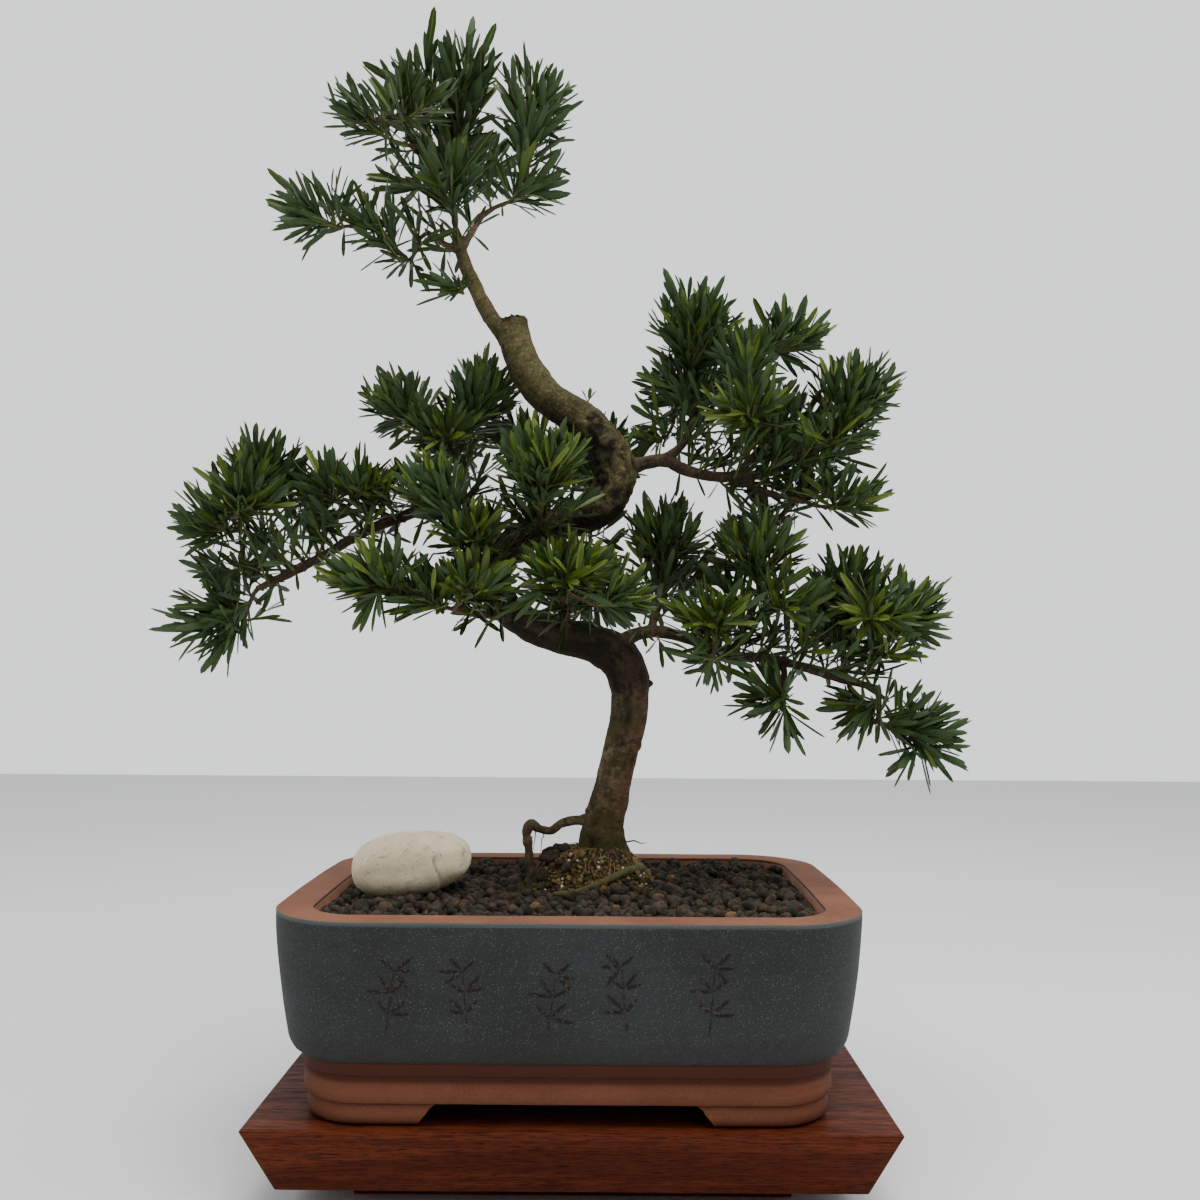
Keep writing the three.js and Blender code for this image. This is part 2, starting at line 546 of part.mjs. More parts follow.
// A three-sided twig through [point, radius] pairs.
function twigSolid(route) {
  const stations = route.map(([p, radius]) => [p.x, p.y, p.z, radius]);
  return limbSolid(stations, 3, route.length - 1);
}

// A keeled lance-shaped blade of six faces whose flat side faces the shoot that carries it.
function leafSolid(root, tip, axis) {
  const along = tip.clone().sub(root);
  const length = along.length();
  along.normalize();
  const across = new THREE.Vector3().crossVectors(along, axis).normalize();
  const under = new THREE.Vector3().crossVectors(along, across);
  const width = LEAF_WIDTH * THREE.MathUtils.clamp(length / LEAF_LENGTH[1], LEAF_NARROWEST, 1);
  const waist = root.clone().addScaledVector(along, LEAF_WAIST * length);
  const corners = [
    waist.clone().addScaledVector(across, width / 2),
    waist.clone().addScaledVector(across, -width / 2),
    waist.clone().addScaledVector(under, LEAF_THICKNESS),
  ];
  const positions = [root, ...corners, tip].flatMap((p) => [p.x, p.y, p.z]);
  const faces = [0, 1, 2, 0, 2, 3, 0, 3, 1, 4, 2, 1, 4, 3, 2, 4, 1, 3];
  const geometry = new THREE.BufferGeometry();
  geometry.setAttribute("position", new THREE.Float32BufferAttribute(positions, 3));
  geometry.setIndex(faces);
  return solidFrom(geometry);
}

// Stem of one mass, and a twig to each of its lobes from the nearest hub that stands already.
// Each twig bends at its lobe's hub and ends in the leafy shoot.
function growFrame(name, index) {
  const [parent, lobes] = MASSES[name];
  const stations = limbs[parent].stations;
  const curve = new THREE.CatmullRomCurve3(stations.map(vector), false, "centripetal");
  let start = curve.getPoint(1);
  let heading = curve.getTangent(1);
  let stemRadius = stations[stations.length - 1][3] * TIP_SHARE;
  let run = STEM_RUN;
  if (name === "leader_sprig") {
    heading = vector(lobes[0][0]).sub(vector(SPRIG_ROOT)).normalize();
    start = vector(SPRIG_ROOT).addScaledVector(heading, SPRIG_OFFSET);
    stemRadius = TWIG_RADIUS[1];
    run = SPRIG_RUN;
  }
  start.addScaledVector(heading, SEAM);
  const fork = start.clone().addScaledVector(heading, run);
  const forkEnd = fork.clone().addScaledVector(heading, 1);
  const stem = twigSolid([[start, stemRadius], [forkEnd, TWIG_RADIUS[0]]]);
  const parts = [stem];
  take(name, stem);
  const hubs = [fork];
  const grown = lobes.map(([centre, half]) => {
    const lobe = { centre: vector(centre), half: vector(half) };
    const near = hubs.reduce((best, hub) => (
      hub.distanceTo(lobe.centre) < best.distanceTo(lobe.centre) ? hub : best));
    const outward = lobe.centre.clone().sub(near).normalize();
    lobe.axis = outward.multiplyScalar(LOBE_HEADING[0]).addScaledVector(UP, LOBE_HEADING[1]).normalize();
    lobe.girth = (half[0] + half[1] + half[2]) / 3;
    lobe.hub = lobe.centre.clone().addScaledVector(lobe.axis, -HUB_DEPTH * lobe.girth);
    const reach = runToSurface(lobe, lobe.hub, lobe.axis);
    lobe.shoot = Math.max(SHOOT_LENGTH, reach - SHOOT_ROOM * LEAF_LENGTH[1]);
    lobe.end = lobe.hub.clone().addScaledVector(lobe.axis, lobe.shoot);
    const along = lobe.hub.clone().sub(near).normalize();
    const from = near.clone().addScaledVector(along, -ROOT_SINK);
    const twig = twigSolid([
      [from, TWIG_RADIUS[1]], [lobe.hub, TWIG_RADIUS[1]], [lobe.end, TWIG_RADIUS[2]]]);
    if (!isClear(name, twig)) {
      throw new Error(`the twig to lobe ${centre} of ${name} meets another piece`);
    }
    parts.push(twig);
    take(name, twig);
    hubs.push(lobe.hub);
    return lobe;
  });
  return { name, parts, lobes: grown, random: seeded(SEED + index) };
}

// Leaves spiral down each lobe's shoot: steep ones round its tip, spreading ones at its foot.
function growLeaves(mass) {
  for (const lobe of mass.lobes) {
    const turn = mass.random() * 2 * Math.PI;
    const leaves = Math.round((LEAVES_PER_LOBE * lobe.girth) / LOBE_GIRTH);
    for (let leaf = 0; leaf < leaves; leaf += 1) {
      const share = leaf / (leaves - 1);
      const spread = mix(...LEAF_SPREAD, share) + LEAN_JITTER * (mass.random() - 0.5);
      const below = mix(LEAF_INSET, lobe.shoot, share);
      const base = lobe.end.clone().addScaledVector(lobe.axis, -below);
      growLeaf(mass, lobe, base, leaf === 0 ? FIRST_LEAN : spread, turn + leaf * TURN);
    }
  }
}

// The leaves that end at a mass's furthest tips, from the end of the nearest shoot.
function growTips(mass) {
  for (const tip of (TIPS[mass.name] ?? []).map(vector)) {
    const lobe = mass.lobes.reduce((best, other) => (
      other.end.distanceTo(tip) < best.end.distanceTo(tip) ? other : best));
    const base = lobe.end.clone().addScaledVector(lobe.axis, -TIP_LEAF_ROOT * lobe.shoot);
    const direction = tip.clone().sub(base).normalize();
    const root = base.addScaledVector(direction, -ROOT_SINK);
    const leaf = leafSolid(root, tip, lobe.axis);
    if (!isClear(mass.name, leaf)) {
      throw new Error(`the leaf to the tip ${tip.toArray()} of ${mass.name} meets another piece`);
    }
    mass.parts.push(leaf);
    take(mass.name, leaf);
  }
}

// One leaf, tried at a few turns round its shoot until it is clear of everything else. It grows
// to its full length or to the surface of its lobe.
function growLeaf(mass, lobe, base, spread, turn) {
  for (let attempt = 0; attempt < LEAF_TRIES; attempt += 1) {
    const direction = leaning(lobe.axis, spread, turn + attempt * TRY_TURN);
    const length = Math.min(runToSurface(lobe, base, direction), LEAF_LENGTH[1]);
    const tip = base.clone().addScaledVector(direction, length);
    const root = base.clone().addScaledVector(direction, -ROOT_SINK);
    const leaf = leafSolid(root, tip, lobe.axis);
    const least = Math.min(LEAF_LENGTH[0], LEAF_LEAST * lobe.girth);
    if (length > least && isClear(mass.name, leaf)) {
      mass.parts.push(leaf);
      take(mass.name, leaf);
      return;
    }
  }
}

// Assembly

const bonsai = new THREE.Group();
bonsai.name = "buddhist_pine_bonsai";

const soil = makeSoil();
const raisedSoil = soil.translate([0, 0, SEAM]);

const limbs = { trunk: { stations: TRUNK } };
limbs.trunk.swollen = limbSolid(TRUNK, TRUNK_SIDES, TRUNK_STEPS, SEAM);
const trunk = limbSolid(TRUNK, TRUNK_SIDES, TRUNK_STEPS).trimByPlane([0, 0, 1], MOUND_TOP + SEAM);
bonsai.add(meshFrom("trunk", largestPiece(trunk), "bark"));
take("trunk", trunk);

for (const [name, bough] of Object.entries(BOUGHS)) {
  const stations = boughStations(bough);
  const steps = Math.max(4, Math.round((stations.length - 1) * BOUGH_STEPS));
  const whole = limbSolid(stations, BOUGH_SIDES, steps);
  const cut = largestPiece(whole.subtract(limbs[bough[0]].swollen));
  limbs[name] = { stations, swollen: limbSolid(stations, BOUGH_SIDES, steps, SEAM) };
  bonsai.add(meshFrom(name, cut, "bark"));
  take(name, cut);
}

const masses = Object.keys(MASSES).map(growFrame);
masses.forEach(growTips);
for (const mass of masses) {
  growLeaves(mass);
  const whole = largestPiece(wasm.Manifold.union(mass.parts).simplify(WELD));
  bonsai.add(meshFrom(`mass_${mass.name}`, whole, "foliage"));
}

const surfaceRoot = SURFACE_ROOT_ROUTE.map(([x, y], i, route) => {
  const radius = mix(...SURFACE_ROOT_RADIUS, i / (route.length - 1));
  return [x, y, soilHeight(x, y) + ROOT_RISE, radius];
});
const arched = limbSolid(ARCHED_ROOT, ROOT_SIDES, 12).subtract(limbs.trunk.swollen).subtract(raisedSoil);
const lying = limbSolid(surfaceRoot, ROOT_SIDES, 6).subtract(raisedSoil);
bonsai.add(meshFrom("arched_root", largestPiece(arched), "bark"));
bonsai.add(meshFrom("surface_root", largestPiece(lying), "bark"));

bonsai.add(meshFrom("soil", soil, "soil"));
bonsai.add(meshFrom("accent_stone", makeStone(), "stone"));
bonsai.add(meshFrom("pot_rim", makePotRim(), "terracotta"));
bonsai.add(meshFrom("pot_body", makePotBody(), "stoneware"));
bonsai.add(meshFrom("pot_base", makePotBase(), "terracotta"));
for (const [side, signX] of [["left", -1], ["right", 1]]) {
  for (const [end, signY] of [["front", -1], ["back", 1]]) {
    bonsai.add(meshFrom(`pot_foot_${end}_${side}`, makePotFoot(signX, signY), "terracotta"));
  }
}
bonsai.add(meshFrom("stand_slab", makeSlab(), "wood"));
bonsai.add(meshFrom("stand_plinth", makePlinth(), "wood"));

export default bonsai;
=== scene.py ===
# Looks of a buddhist pine (Podocarpus) bonsai in its pot on a wooden stand.
# Lengths are in millimetres until add_mesh turns them into the frame's metres.
import itertools
import math

import bmesh
import bpy
import numpy as np
from mathutils import Matrix, Vector


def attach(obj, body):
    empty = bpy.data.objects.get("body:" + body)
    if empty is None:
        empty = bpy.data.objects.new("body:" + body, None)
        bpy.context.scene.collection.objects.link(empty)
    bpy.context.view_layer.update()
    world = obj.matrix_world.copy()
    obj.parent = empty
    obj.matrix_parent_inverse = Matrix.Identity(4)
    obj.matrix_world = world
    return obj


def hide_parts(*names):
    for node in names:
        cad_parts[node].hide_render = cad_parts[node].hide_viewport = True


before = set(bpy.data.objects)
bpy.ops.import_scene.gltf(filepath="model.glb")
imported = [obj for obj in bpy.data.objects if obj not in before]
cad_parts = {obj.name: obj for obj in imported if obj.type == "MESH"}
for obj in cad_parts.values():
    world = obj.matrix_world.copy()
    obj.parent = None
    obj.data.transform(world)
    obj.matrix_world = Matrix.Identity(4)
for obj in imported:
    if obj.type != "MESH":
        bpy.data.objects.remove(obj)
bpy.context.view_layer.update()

MM = 0.001
UP = np.array((0.0, 0.0, 1.0))
GOLDEN_TURN = math.pi * (3 - math.sqrt(5))

# Camera of the photograph: its place, its tilts and its focal length in pixels of the frame

IMAGE_SIZE = 1200
FOCAL_PIXELS = 1155
CAMERA_PLACE = (18.7, -913.0, 355.0)
CAMERA_PITCH = math.radians(3.82)
CAMERA_ROLL = math.radians(0.37)
CAMERA_YAW = math.radians(0.17)
SENSOR_WIDTH = 36

# Stand and pot

STAND_TOP = (432, 291)
STAND_UNDERCUT = 19.5
STAND_HEIGHT = 60.5
PLINTH_HEIGHT = 15.3
STAND_ROUND = 1.2
POT_CENTRE_X = -3.7
POT_HALF = (201.5, 150)
POT_CORNER = 58
POT_CORNER_LEAST = 12
POT_BOW = (4, 1.5)
POT_TOP = 195
RIM_HEIGHT = 2
RIM_WIDTH = 25
POT_BORE = 26
WALL_DRAW = 12.5
WALL_POWER = 1.55
WALL_ROUND = 4
WALL_ROUND_FROM = 0.88
LONG_SIDE_DRAW = 0.62
BODY_BOTTOM = 102
POT_FLOOR = 106
BASE_BOTTOM = 75
FOOT_BOTTOM = 60.8
FOOT_GAP = (88, 52)
FOOT_SPLAY = 9
POT_ARC_STEPS = 14

# Soil, mound and stone

SOIL_LEVEL = 188
SOIL_INSET = 26.3
MOUND_CENTRE = (9, 16)
MOUND_TOP = 218.7
MOUND_REACH = (66, 64)
MOUND_FLAT = 0.32
STONE_CENTRE = (-126.5, -19, 212)
STONE_HALF = (46.5, 32, 25)
STONE_TILT = 0.14
STONE_TAPER = 0.12
STONE_FOOT = (-134, -19, 29, 21)

# Trunk: the height of its flat foot in the soil, and its stations [x, y, z, radius]

TRUNK_FOOT = 205
TRUNK = [
    [21, 21, 204, 25], [19.5, 21, 220, 19], [20, 20, 236, 16.4], [26, 19, 265, 14.5],
    [34.5, 17, 301, 14], [40, 15, 330, 14.9], [40, 14, 351, 16.1], [32, 15, 370, 16.5],
    [13, 18, 381, 15.7], [-16, 22, 388, 14.6], [-43, 26, 398, 13.4], [-63, 28, 414, 13.0],
    [-70, 26, 435, 12.6], [-61, 20, 456, 12.5], [-41, 12, 469, 12.8], [-16, 6, 477, 13.5],
    [6, 2, 485, 14.7], [22, 0, 498, 16.2], [28, 0, 516, 16.8], [21, 0, 537, 16.2],
    [2, 0, 560, 14.6], [-26, 2, 578, 13.9], [-40, 4, 595, 14.3], [-50, 5, 614, 13.5],
    [-54, 6, 629, 12.7], [-55, 6, 645, 11.0],
]

# Boughs: the limb each grows from, its radius at root and tip, and its centreline

BOUGHS = {
    "leader": ("trunk", 7.2, 5.0, [[-54, 6, 620], [-66, 4, 634], [-77, 3, 651], [-83, 2, 662],
        [-89, 1, 674], [-94, 0, 685], [-98, 0, 697], [-101, 0, 709]]),
    "crown_left_branch": ("leader", 3.2, 2.4, [[-98, 0, 697], [-111, 2, 704], [-119, 4, 710]]),
    "crown_right_branch": ("leader", 3.2, 2.6, [[-98.5, 0, 699], [-91, -1, 711], [-85, 0, 722]]),
    "bough_left": ("trunk", 5.8, 3.2, [[-66, 24, 446], [-83, 18, 471], [-102, 14, 483], [-125, 10, 488],
        [-149, 6, 480], [-176, 4, 468], [-203, 2, 451], [-226, 0, 438], [-247, -3, 427]]),
    "bough_left_upper": ("bough_left", 3.6, 2.6, [[-91, 16, 477], [-95, 12, 505], [-100, 12, 528]]),
    "bough_left_mid": ("bough_left", 2.8, 2.3, [[-149, 6, 480], [-164, 4, 487], [-175, 2, 491]]),
    "bough_left_outer": ("bough_left", 2.9, 2.3, [[-226, 0, 438], [-246, 2, 453], [-260, 4, 464]]),
    "bough_front_left": ("trunk", 5.4, 3.6,
        [[-52, 26, 404], [-66, 8, 404], [-79, -8, 405], [-91, -28, 406]]),
    "bough_front_low": ("trunk", 4.2, 3.0, [[-12, 20, 387], [-11, -2, 398], [-10, -20, 405],
        [-12, -42, 414]]),
    "bough_front_centre": ("trunk", 4.4, 3.2, [[-39, 11, 469], [-35, -6, 467], [-33, -22, 467],
        [-30, -44, 472]]),
    "bough_centre_left": ("trunk", 3.8, 2.8, [[-69, 25, 440], [-72, 5, 443], [-75, -10, 446],
        [-81, -34, 450]]),
    "bough_right_low": ("trunk", 5.8, 2.9, [[26, 16, 375], [34, 13, 384], [48, 8, 390], [65, 2, 391],
        [87, -4, 385], [120, -10, 372], [145, -12, 371], [174, -12, 364], [203, -12, 355],
        [223, -12, 350]]),
    "bough_right_inner": ("bough_right_low", 3.2, 2.5, [[57, 5, 390.5], [60, 12, 412], [64, 16, 429]]),
    "bough_right_low_front": ("bough_right_low", 3.2, 2.5,
        [[87, -4, 385], [91, -22, 390], [97, -36, 391]]),
    "bough_right_centre": ("bough_right_low", 3.2, 2.6, [[118, -10, 372.5], [128, -16, 392],
        [135, -22, 411]]),
    "bough_right_hanging": ("bough_right_low", 2.6, 2.2, [[157, -12, 368], [159, -18, 360],
        [158, -22, 351]]),
    "bough_right_low_outer": ("bough_right_low", 2.8, 2.3, [[196, -12, 357.5], [217, -8, 367],
        [232, -4, 376]]),
    "bough_right_upper": ("trunk", 7.0, 2.7, [[30, 0, 519], [42, 0, 523], [55, 0, 527], [68, 0, 528],
        [81, 2, 522], [105, 4, 516], [128, 4, 516], [150, 4, 519], [171, 2, 528], [187, 0, 536]]),
    "bough_right_top": ("bough_right_upper", 4.2, 3.2, [[66, 0, 528], [81, 0, 541], [89, 2, 558]]),
    "bough_right_top_mid": ("bough_right_upper", 3.4, 2.6,
        [[124, 4, 516], [137, 2, 531], [148, 2, 545]]),
    "bough_right_mid": ("bough_right_upper", 3.2, 2.5, [[126, 4, 516], [145, 4, 505], [169, 2, 498]]),
    "bough_back": ("trunk", 5.4, 3.8, [[26, 2, 512], [19, 26, 512], [12, 58, 512]]),
}

# Foliage: the limb each mass grows from, how young its sprays are from 0 to 1, and its lobes, each
# with its centre and its half size along x, y and z

MASSES = {
    "crown_top": ("leader", 0.14, [
        (-104, -28, 757, 34, 28, 34), (-105, 40, 801, 37, 30, 41), (-177, -6, 812, 30, 28, 33),
        (-100, 0, 841, 33, 34, 46), (-142, 22, 848, 31, 30, 39), (-130, -56, 797, 32, 30, 33),
        (-86, 74, 806, 32, 32, 34), (-150, 62, 788, 32, 30, 32)]),
    "crown_right": ("crown_right_branch", 0.12,
        [(-43, -6, 756, 31, 30, 33), (-42, 8, 835, 32, 32, 32)]),
    "crown_left": ("crown_left_branch", 0.22, [
        (-150, 2, 698, 19, 20, 19), (-170, 6, 730, 32, 26, 27), (-215, -8, 731, 36, 26, 31)]),
    "leader_sprig": ("leader", 0.1, [(-101, -6, 669, 19, 15, 16)]),
    "left_upper": ("bough_left_upper", 0.25, [
        (-112, -8, 554, 28, 28, 27), (-149, 20, 581, 32, 34, 34), (-83, 28, 591, 29, 30, 41),
        (-112, 72, 560, 32, 30, 32)]),
    "left_mid": ("bough_left_mid", 0.35, [(-168, -8, 509, 27, 26, 25), (-207, 12, 509, 30, 28, 29)]),
    "left_outer": ("bough_left_outer", 0.25, [
        (-287, -14, 482, 31, 32, 33), (-255, 8, 526, 35, 32, 33), (-282, 25, 448, 39, 32, 28),
        (-228, 58, 494, 30, 30, 30), (-248, -54, 496, 31, 30, 31)]),
    "left_tip": ("bough_left", 0.2, [(-287, -5, 398, 49, 30, 35)]),
    "centre_left": ("bough_centre_left", 0.7,
        [(-81, -55, 468, 30, 28, 25), (-110, -45, 505, 29, 26, 27)]),
    "front_centre": ("bough_front_centre", 0.85, [(-27, -70, 518, 35, 34, 34)]),
    "front_low": ("bough_front_low", 0.8, [(-9, -75, 440, 35, 34, 28), (31, -40, 421, 26, 28, 30)]),
    "front_left": ("bough_front_left", 0.8, [
        (-116, -45, 423, 32, 28, 30), (-153, -60, 435, 38, 28, 31), (-72, -70, 431, 28, 28, 26)]),
    "right_top": ("bough_right_top", 0.3, [
        (83, 22, 601, 37, 30, 32), (58, 26, 556, 19, 20, 26), (91, -5, 642, 36, 34, 39),
        (92, 70, 606, 34, 30, 34)]),
    "right_top_mid": ("bough_right_top_mid", 0.3, [
        (126, -45, 566, 33, 26, 29), (173, 36, 569, 37, 30, 31), (129, -18, 617, 26, 26, 28),
        (168, 6, 635, 32, 30, 33), (150, 78, 585, 32, 28, 30)]),
    "right_top_outer": ("bough_right_upper", 0.3, [
        (199, -20, 549, 34, 28, 26), (219, 0, 590, 38, 30, 33), (196, 66, 552, 32, 30, 30)]),
    "right_mid": ("bough_right_mid", 0.45, [
        (178, 20, 516, 29, 24, 21), (211, -8, 502, 33, 28, 28), (150, 60, 486, 30, 28, 28)]),
    "right_inner": ("bough_right_inner", 0.35, [(68, 18, 474, 34, 32, 37), (92, 66, 446, 30, 28, 28)]),
    "right_centre": ("bough_right_centre", 0.6,
        [(136, -22, 462, 39, 32, 32), (160, -38, 418, 33, 28, 26)]),
    "right_low_front": ("bough_right_low_front", 0.5, [
        (101, -36, 372, 33, 26, 24), (101, -58, 407, 36, 30, 27)]),
    "right_low_outer": ("bough_right_low_outer", 0.4, [
        (234, -16, 381, 34, 24, 19), (200, 30, 399, 29, 26, 24), (259, 6, 414, 35, 30, 33),
        (213, -4, 434, 35, 30, 31), (222, -60, 412, 32, 28, 30), (214, 74, 420, 32, 30, 30)]),
    "right_hanging": ("bough_right_hanging", 0.15, [(147, -24, 342, 37, 26, 31)]),
    "right_tip": ("bough_right_low", 0.1, [(217, -10, 326, 33, 24, 27), (274, -14, 314, 33, 26, 34)]),
    "back": ("bough_back", 0.25, [
        (6, 80, 548, 47, 36, 52), (-54, 75, 568, 34, 34, 34), (16, 78, 434, 51, 36, 34)]),
}

# The crown's top and furthest tips: a leaf of the mass ends at each

TIPS = {
    "crown_top": [[-123, 0, 904], [-92, 10, 902], [-72, 0, 890], [-212, -6, 824], [-184, 10, 862]],
    "crown_right": [[-5, 8, 842], [-10, -6, 755], [-50, 8, 880]],
    "crown_left": [[-255, -8, 763], [-256, -8, 737], [-248, -4, 716]],
    "leader_sprig": [[-117, -6, 672]],
    "left_upper": [[-159, 20, 614], [-77, 28, 633]],
    "left_mid": [[-208, 12, 543]],
    "left_outer": [[-276, 8, 557], [-314, -10, 508], [-323, 2, 462]],
    "left_tip": [[-338, -8, 407], [-340, -5, 390], [-298, -5, 357]],
    "front_left": [[-198, -60, 428], [-167, -60, 390]],
    "front_low": [[-70, -62, 392]],
    "right_top": [[65, -5, 684], [115, -5, 678]],
    "right_top_mid": [[164, 6, 668], [201, 6, 633]],
    "right_top_outer": [[248, 0, 620], [262, 0, 602]],
    "right_mid": [[245, -8, 512]],
    "right_low_outer": [[298, 6, 438], [277, 0, 389]],
    "right_hanging": [[161, -24, 308], [110, -24, 334]],
    "right_tip": [[305, -14, 324], [302, -14, 284], [245, -14, 284]],
}
SPRIG_ROOT = (-87.5, 1, 671)

# Boughs that carry leafy shoots of their own: from which share of their length to which, how long
# the shoots are and the gap from one to the next

BOUGH_SHOOTS = {
    "leader": (0.8, 1.0, (10, 26), 7), "crown_left_branch": (0.3, 1.0, (10, 24), 8),
    "crown_right_branch": (0.3, 1.0, (12, 30), 7), "bough_left": (0.22, 1.0, (10, 32), 7),
    "bough_left_upper": (0.15, 1.0, (12, 34), 7), "bough_left_mid": (0.2, 1.0, (10, 26), 7),
    "bough_left_outer": (0.1, 1.0, (10, 30), 6), "bough_front_left": (0.2, 1.0, (14, 36), 5),
    "bough_front_low": (0.2, 1.0, (16, 42), 4), "bough_front_centre": (0.2, 1.0, (14, 38), 4),
    "bough_centre_left": (0.2, 1.0, (14, 38), 4.5), "bough_right_low": (0.3, 0.98, (12, 34), 6.5),
    "bough_right_inner": (0.15, 1.0, (20, 50), 4), "bough_right_low_front": (0.3, 1.0, (10, 24), 7),
    "bough_right_centre": (0.1, 1.0, (16, 42), 5), "bough_right_low_outer": (0.1, 1.0, (10, 26), 7),
    "bough_right_upper": (0.3, 1.0, (14, 38), 6), "bough_right_top": (0.2, 1.0, (12, 36), 6),
    "bough_right_top_mid": (0.2, 1.0, (12, 34), 6), "bough_right_mid": (0.2, 1.0, (10, 28), 7),
    "bough_back": (0.35, 1.0, (14, 36), 7)}

# How far the shoots of a mass turn up, from 0, a star round its twig, to 1, straight up

UPRIGHT = 0.95
LESS_UPRIGHT = {
    "left_tip": 0.12, "right_tip": 0.1, "right_hanging": 0.05, "leader_sprig": 0.6,
    "crown_left": 0.9, "right_low_front": 0.5, "front_left": 0.8, "front_low": 0.75,
    "left_outer": 0.88, "right_low_outer": 0.85}

# How many shoots a mass has, how far apart the leaves stand on them, and how long those are

FULLNESS = {"crown_top": 0.66, "crown_right": 0.62, "crown_left": 0.52, "front_centre": 1.5,
    "front_low": 1.6, "centre_left": 1.4, "front_left": 1.35, "right_top": 1.1,
    "right_top_mid": 1.15, "left_upper": 1.25, "left_mid": 1.25, "right_inner": 1.1,
    "right_centre": 1.1}
LOOSE = {"crown_top": 1.5, "crown_right": 1.5, "crown_left": 1.25, "right_tip": 1.3, "left_tip": 1.2}
LEAF_SIZE = {"crown_top": 1.02, "crown_right": 0.98, "crown_left": 0.95, "leader_sprig": 0.52}
USUAL_LEAF_SIZE = 0.84

# Tone of a mass's leaves, from 0, the deepest green, to 4, the youngest. The crown's masses are set
# darker as painted shade.

USUAL_TONE = 1.68
TONE = {"crown_top": 0.9, "crown_right": 0.9, "crown_left": 1.0, "leader_sprig": 1.0,
    "front_centre": 2.5, "front_low": 2.5, "front_left": 2.5, "centre_left": 2.2}

# Growth of the foliage: the seed, then a mass's stem and twigs, its lobes, its shoots and its leaves.
# A pair goes from one end of a route or of a fan to the other, or gives the bounds of a random draw.

SEED = 1000
FLOW_STEPS = 8
STEM_RUN = 8
STEM_RADIUS = 2.4
TWIG_RADIUS = (1.9, 1.3)
SHOOT_RADIUS = (1.3, 0.8)
SPROUT_RADIUS = (1.2, 0.7)
LOBE_HEADING = (0.55, 0.6)
HUB_DEPTH = 0.45
LOBE_GIRTH = 32
SHOOTS_PER_LOBE = 12
SHOOT_LEAN = (1.6, 0.38)
SHOOT_DEPTH = 0.3
SHOOT_OFFSET = 0.75
SHOOT_GAP = 8
SHOOT_SHORTFALL = 13
LEAF_INSIDE = 0.64
LEAF_ZONE = 50
LEAF_GAP = 2.7
LEAF_SPREAD = (0.14, 0.74)
LEAF_LENGTH = 46
LEAF_WIDTH = 6.3
LEAF_OVERREACH = (1.0, 1.4)
LEAF_LEAST = 13
LEAF_ROLL = 0.42
LIMB_CLEARANCE = 1.0
FULL_LEAF_GIRTH = 29
BARE_TWIG_GIRTH = 18
BOUGH_YOUTH = 0.3
TIP_LEAVES = 9

# Roots that show above the soil

ARCHED_ROOT = [[10, 18, 241, 4.6], [-4, 14, 241, 4.1], [-13, 12, 239, 3.7], [-22, 9, 234, 3.1],
    [-31, 6, 236, 3.4], [-37, 5, 239, 3.9], [-40, 4, 233, 3.8], [-39, 4, 222, 3.6], [-38, 4, 208, 3.4],
    [-37, 4, 192, 3.5]]
SURFACE_ROOT_ROUTE = [[50, 6], [39, -12], [27, -24], [13, -32], [-2, -36], [-17, -37]]
SURFACE_ROOT_RADIUS = (3.4, 2.0)
ROOT_RISE = 1.2

# The feet of the fine roots that hang from the arched root, and a thin dry spur beside the trunk

ROOT_HAIRS = [(-33, 6, 235), (-36, 5, 230), (-28, 7, 233)]
ROOT_SPUR = [(38, 12, 225), (44, 9, 226.5), (50, 7, 224.5), (54, 6, 225.2)]


# Numbers and noise

def mix(a, b, share):
    return a + (b - a) * share


def ease(low, high, value):
    share = np.clip((value - low) / (high - low), 0, 1)
    return share * share * (3 - 2 * share)


def unit(vector):
    vector = np.asarray(vector, float)
    return vector / np.linalg.norm(vector, axis=-1, keepdims=True)


def lattice(cells, seed):
    """A fixed value from -1 to 1 for each whole point of space."""
    x, y, z = (cells[..., axis].astype(np.int64) for axis in range(3))
    mixed = (x * 73856093 ^ y * 19349663 ^ z * 83492791 ^ seed * 40503) & 0xFFFFFFFF
    mixed = ((mixed ^ (mixed >> 15)) * 2246822519) & 0xFFFFFFFF
    mixed = ((mixed ^ (mixed >> 13)) * 3266489917) & 0xFFFFFFFF
    mixed = mixed ^ (mixed >> 16)
    return (mixed & 0xFFFFFF) / 0x7FFFFF - 1.0


def noise(points, size, seed=0):
    scaled = np.asarray(points, float) / size
    low = np.floor(scaled)
    share = scaled - low
    share = share * share * (3 - 2 * share)
    total = np.zeros(scaled.shape[:-1])
    for corner in itertools.product((0, 1), repeat=3):
        weight = np.prod(np.where(corner, share, 1 - share), axis=-1)
        total += weight * lattice(low + corner, seed)
    return total


def fractal(points, size, octaves, seed):
    size = np.asarray(size, float)
    return sum(noise(points, size / 2 ** k, seed + 7 * k) / 2 ** k for k in range(octaves))


def drift(points, amount, size, seed):
    """Points moved a little by smooth noise."""
    return points + amount * np.column_stack([noise(points, size, seed + k) for k in range(3)])


# Meshes

def add_object(name, data):
    """A new object in the scene that holds the data."""
    item = bpy.data.objects.new(name, data)
    bpy.context.scene.collection.objects.link(item)
    return item


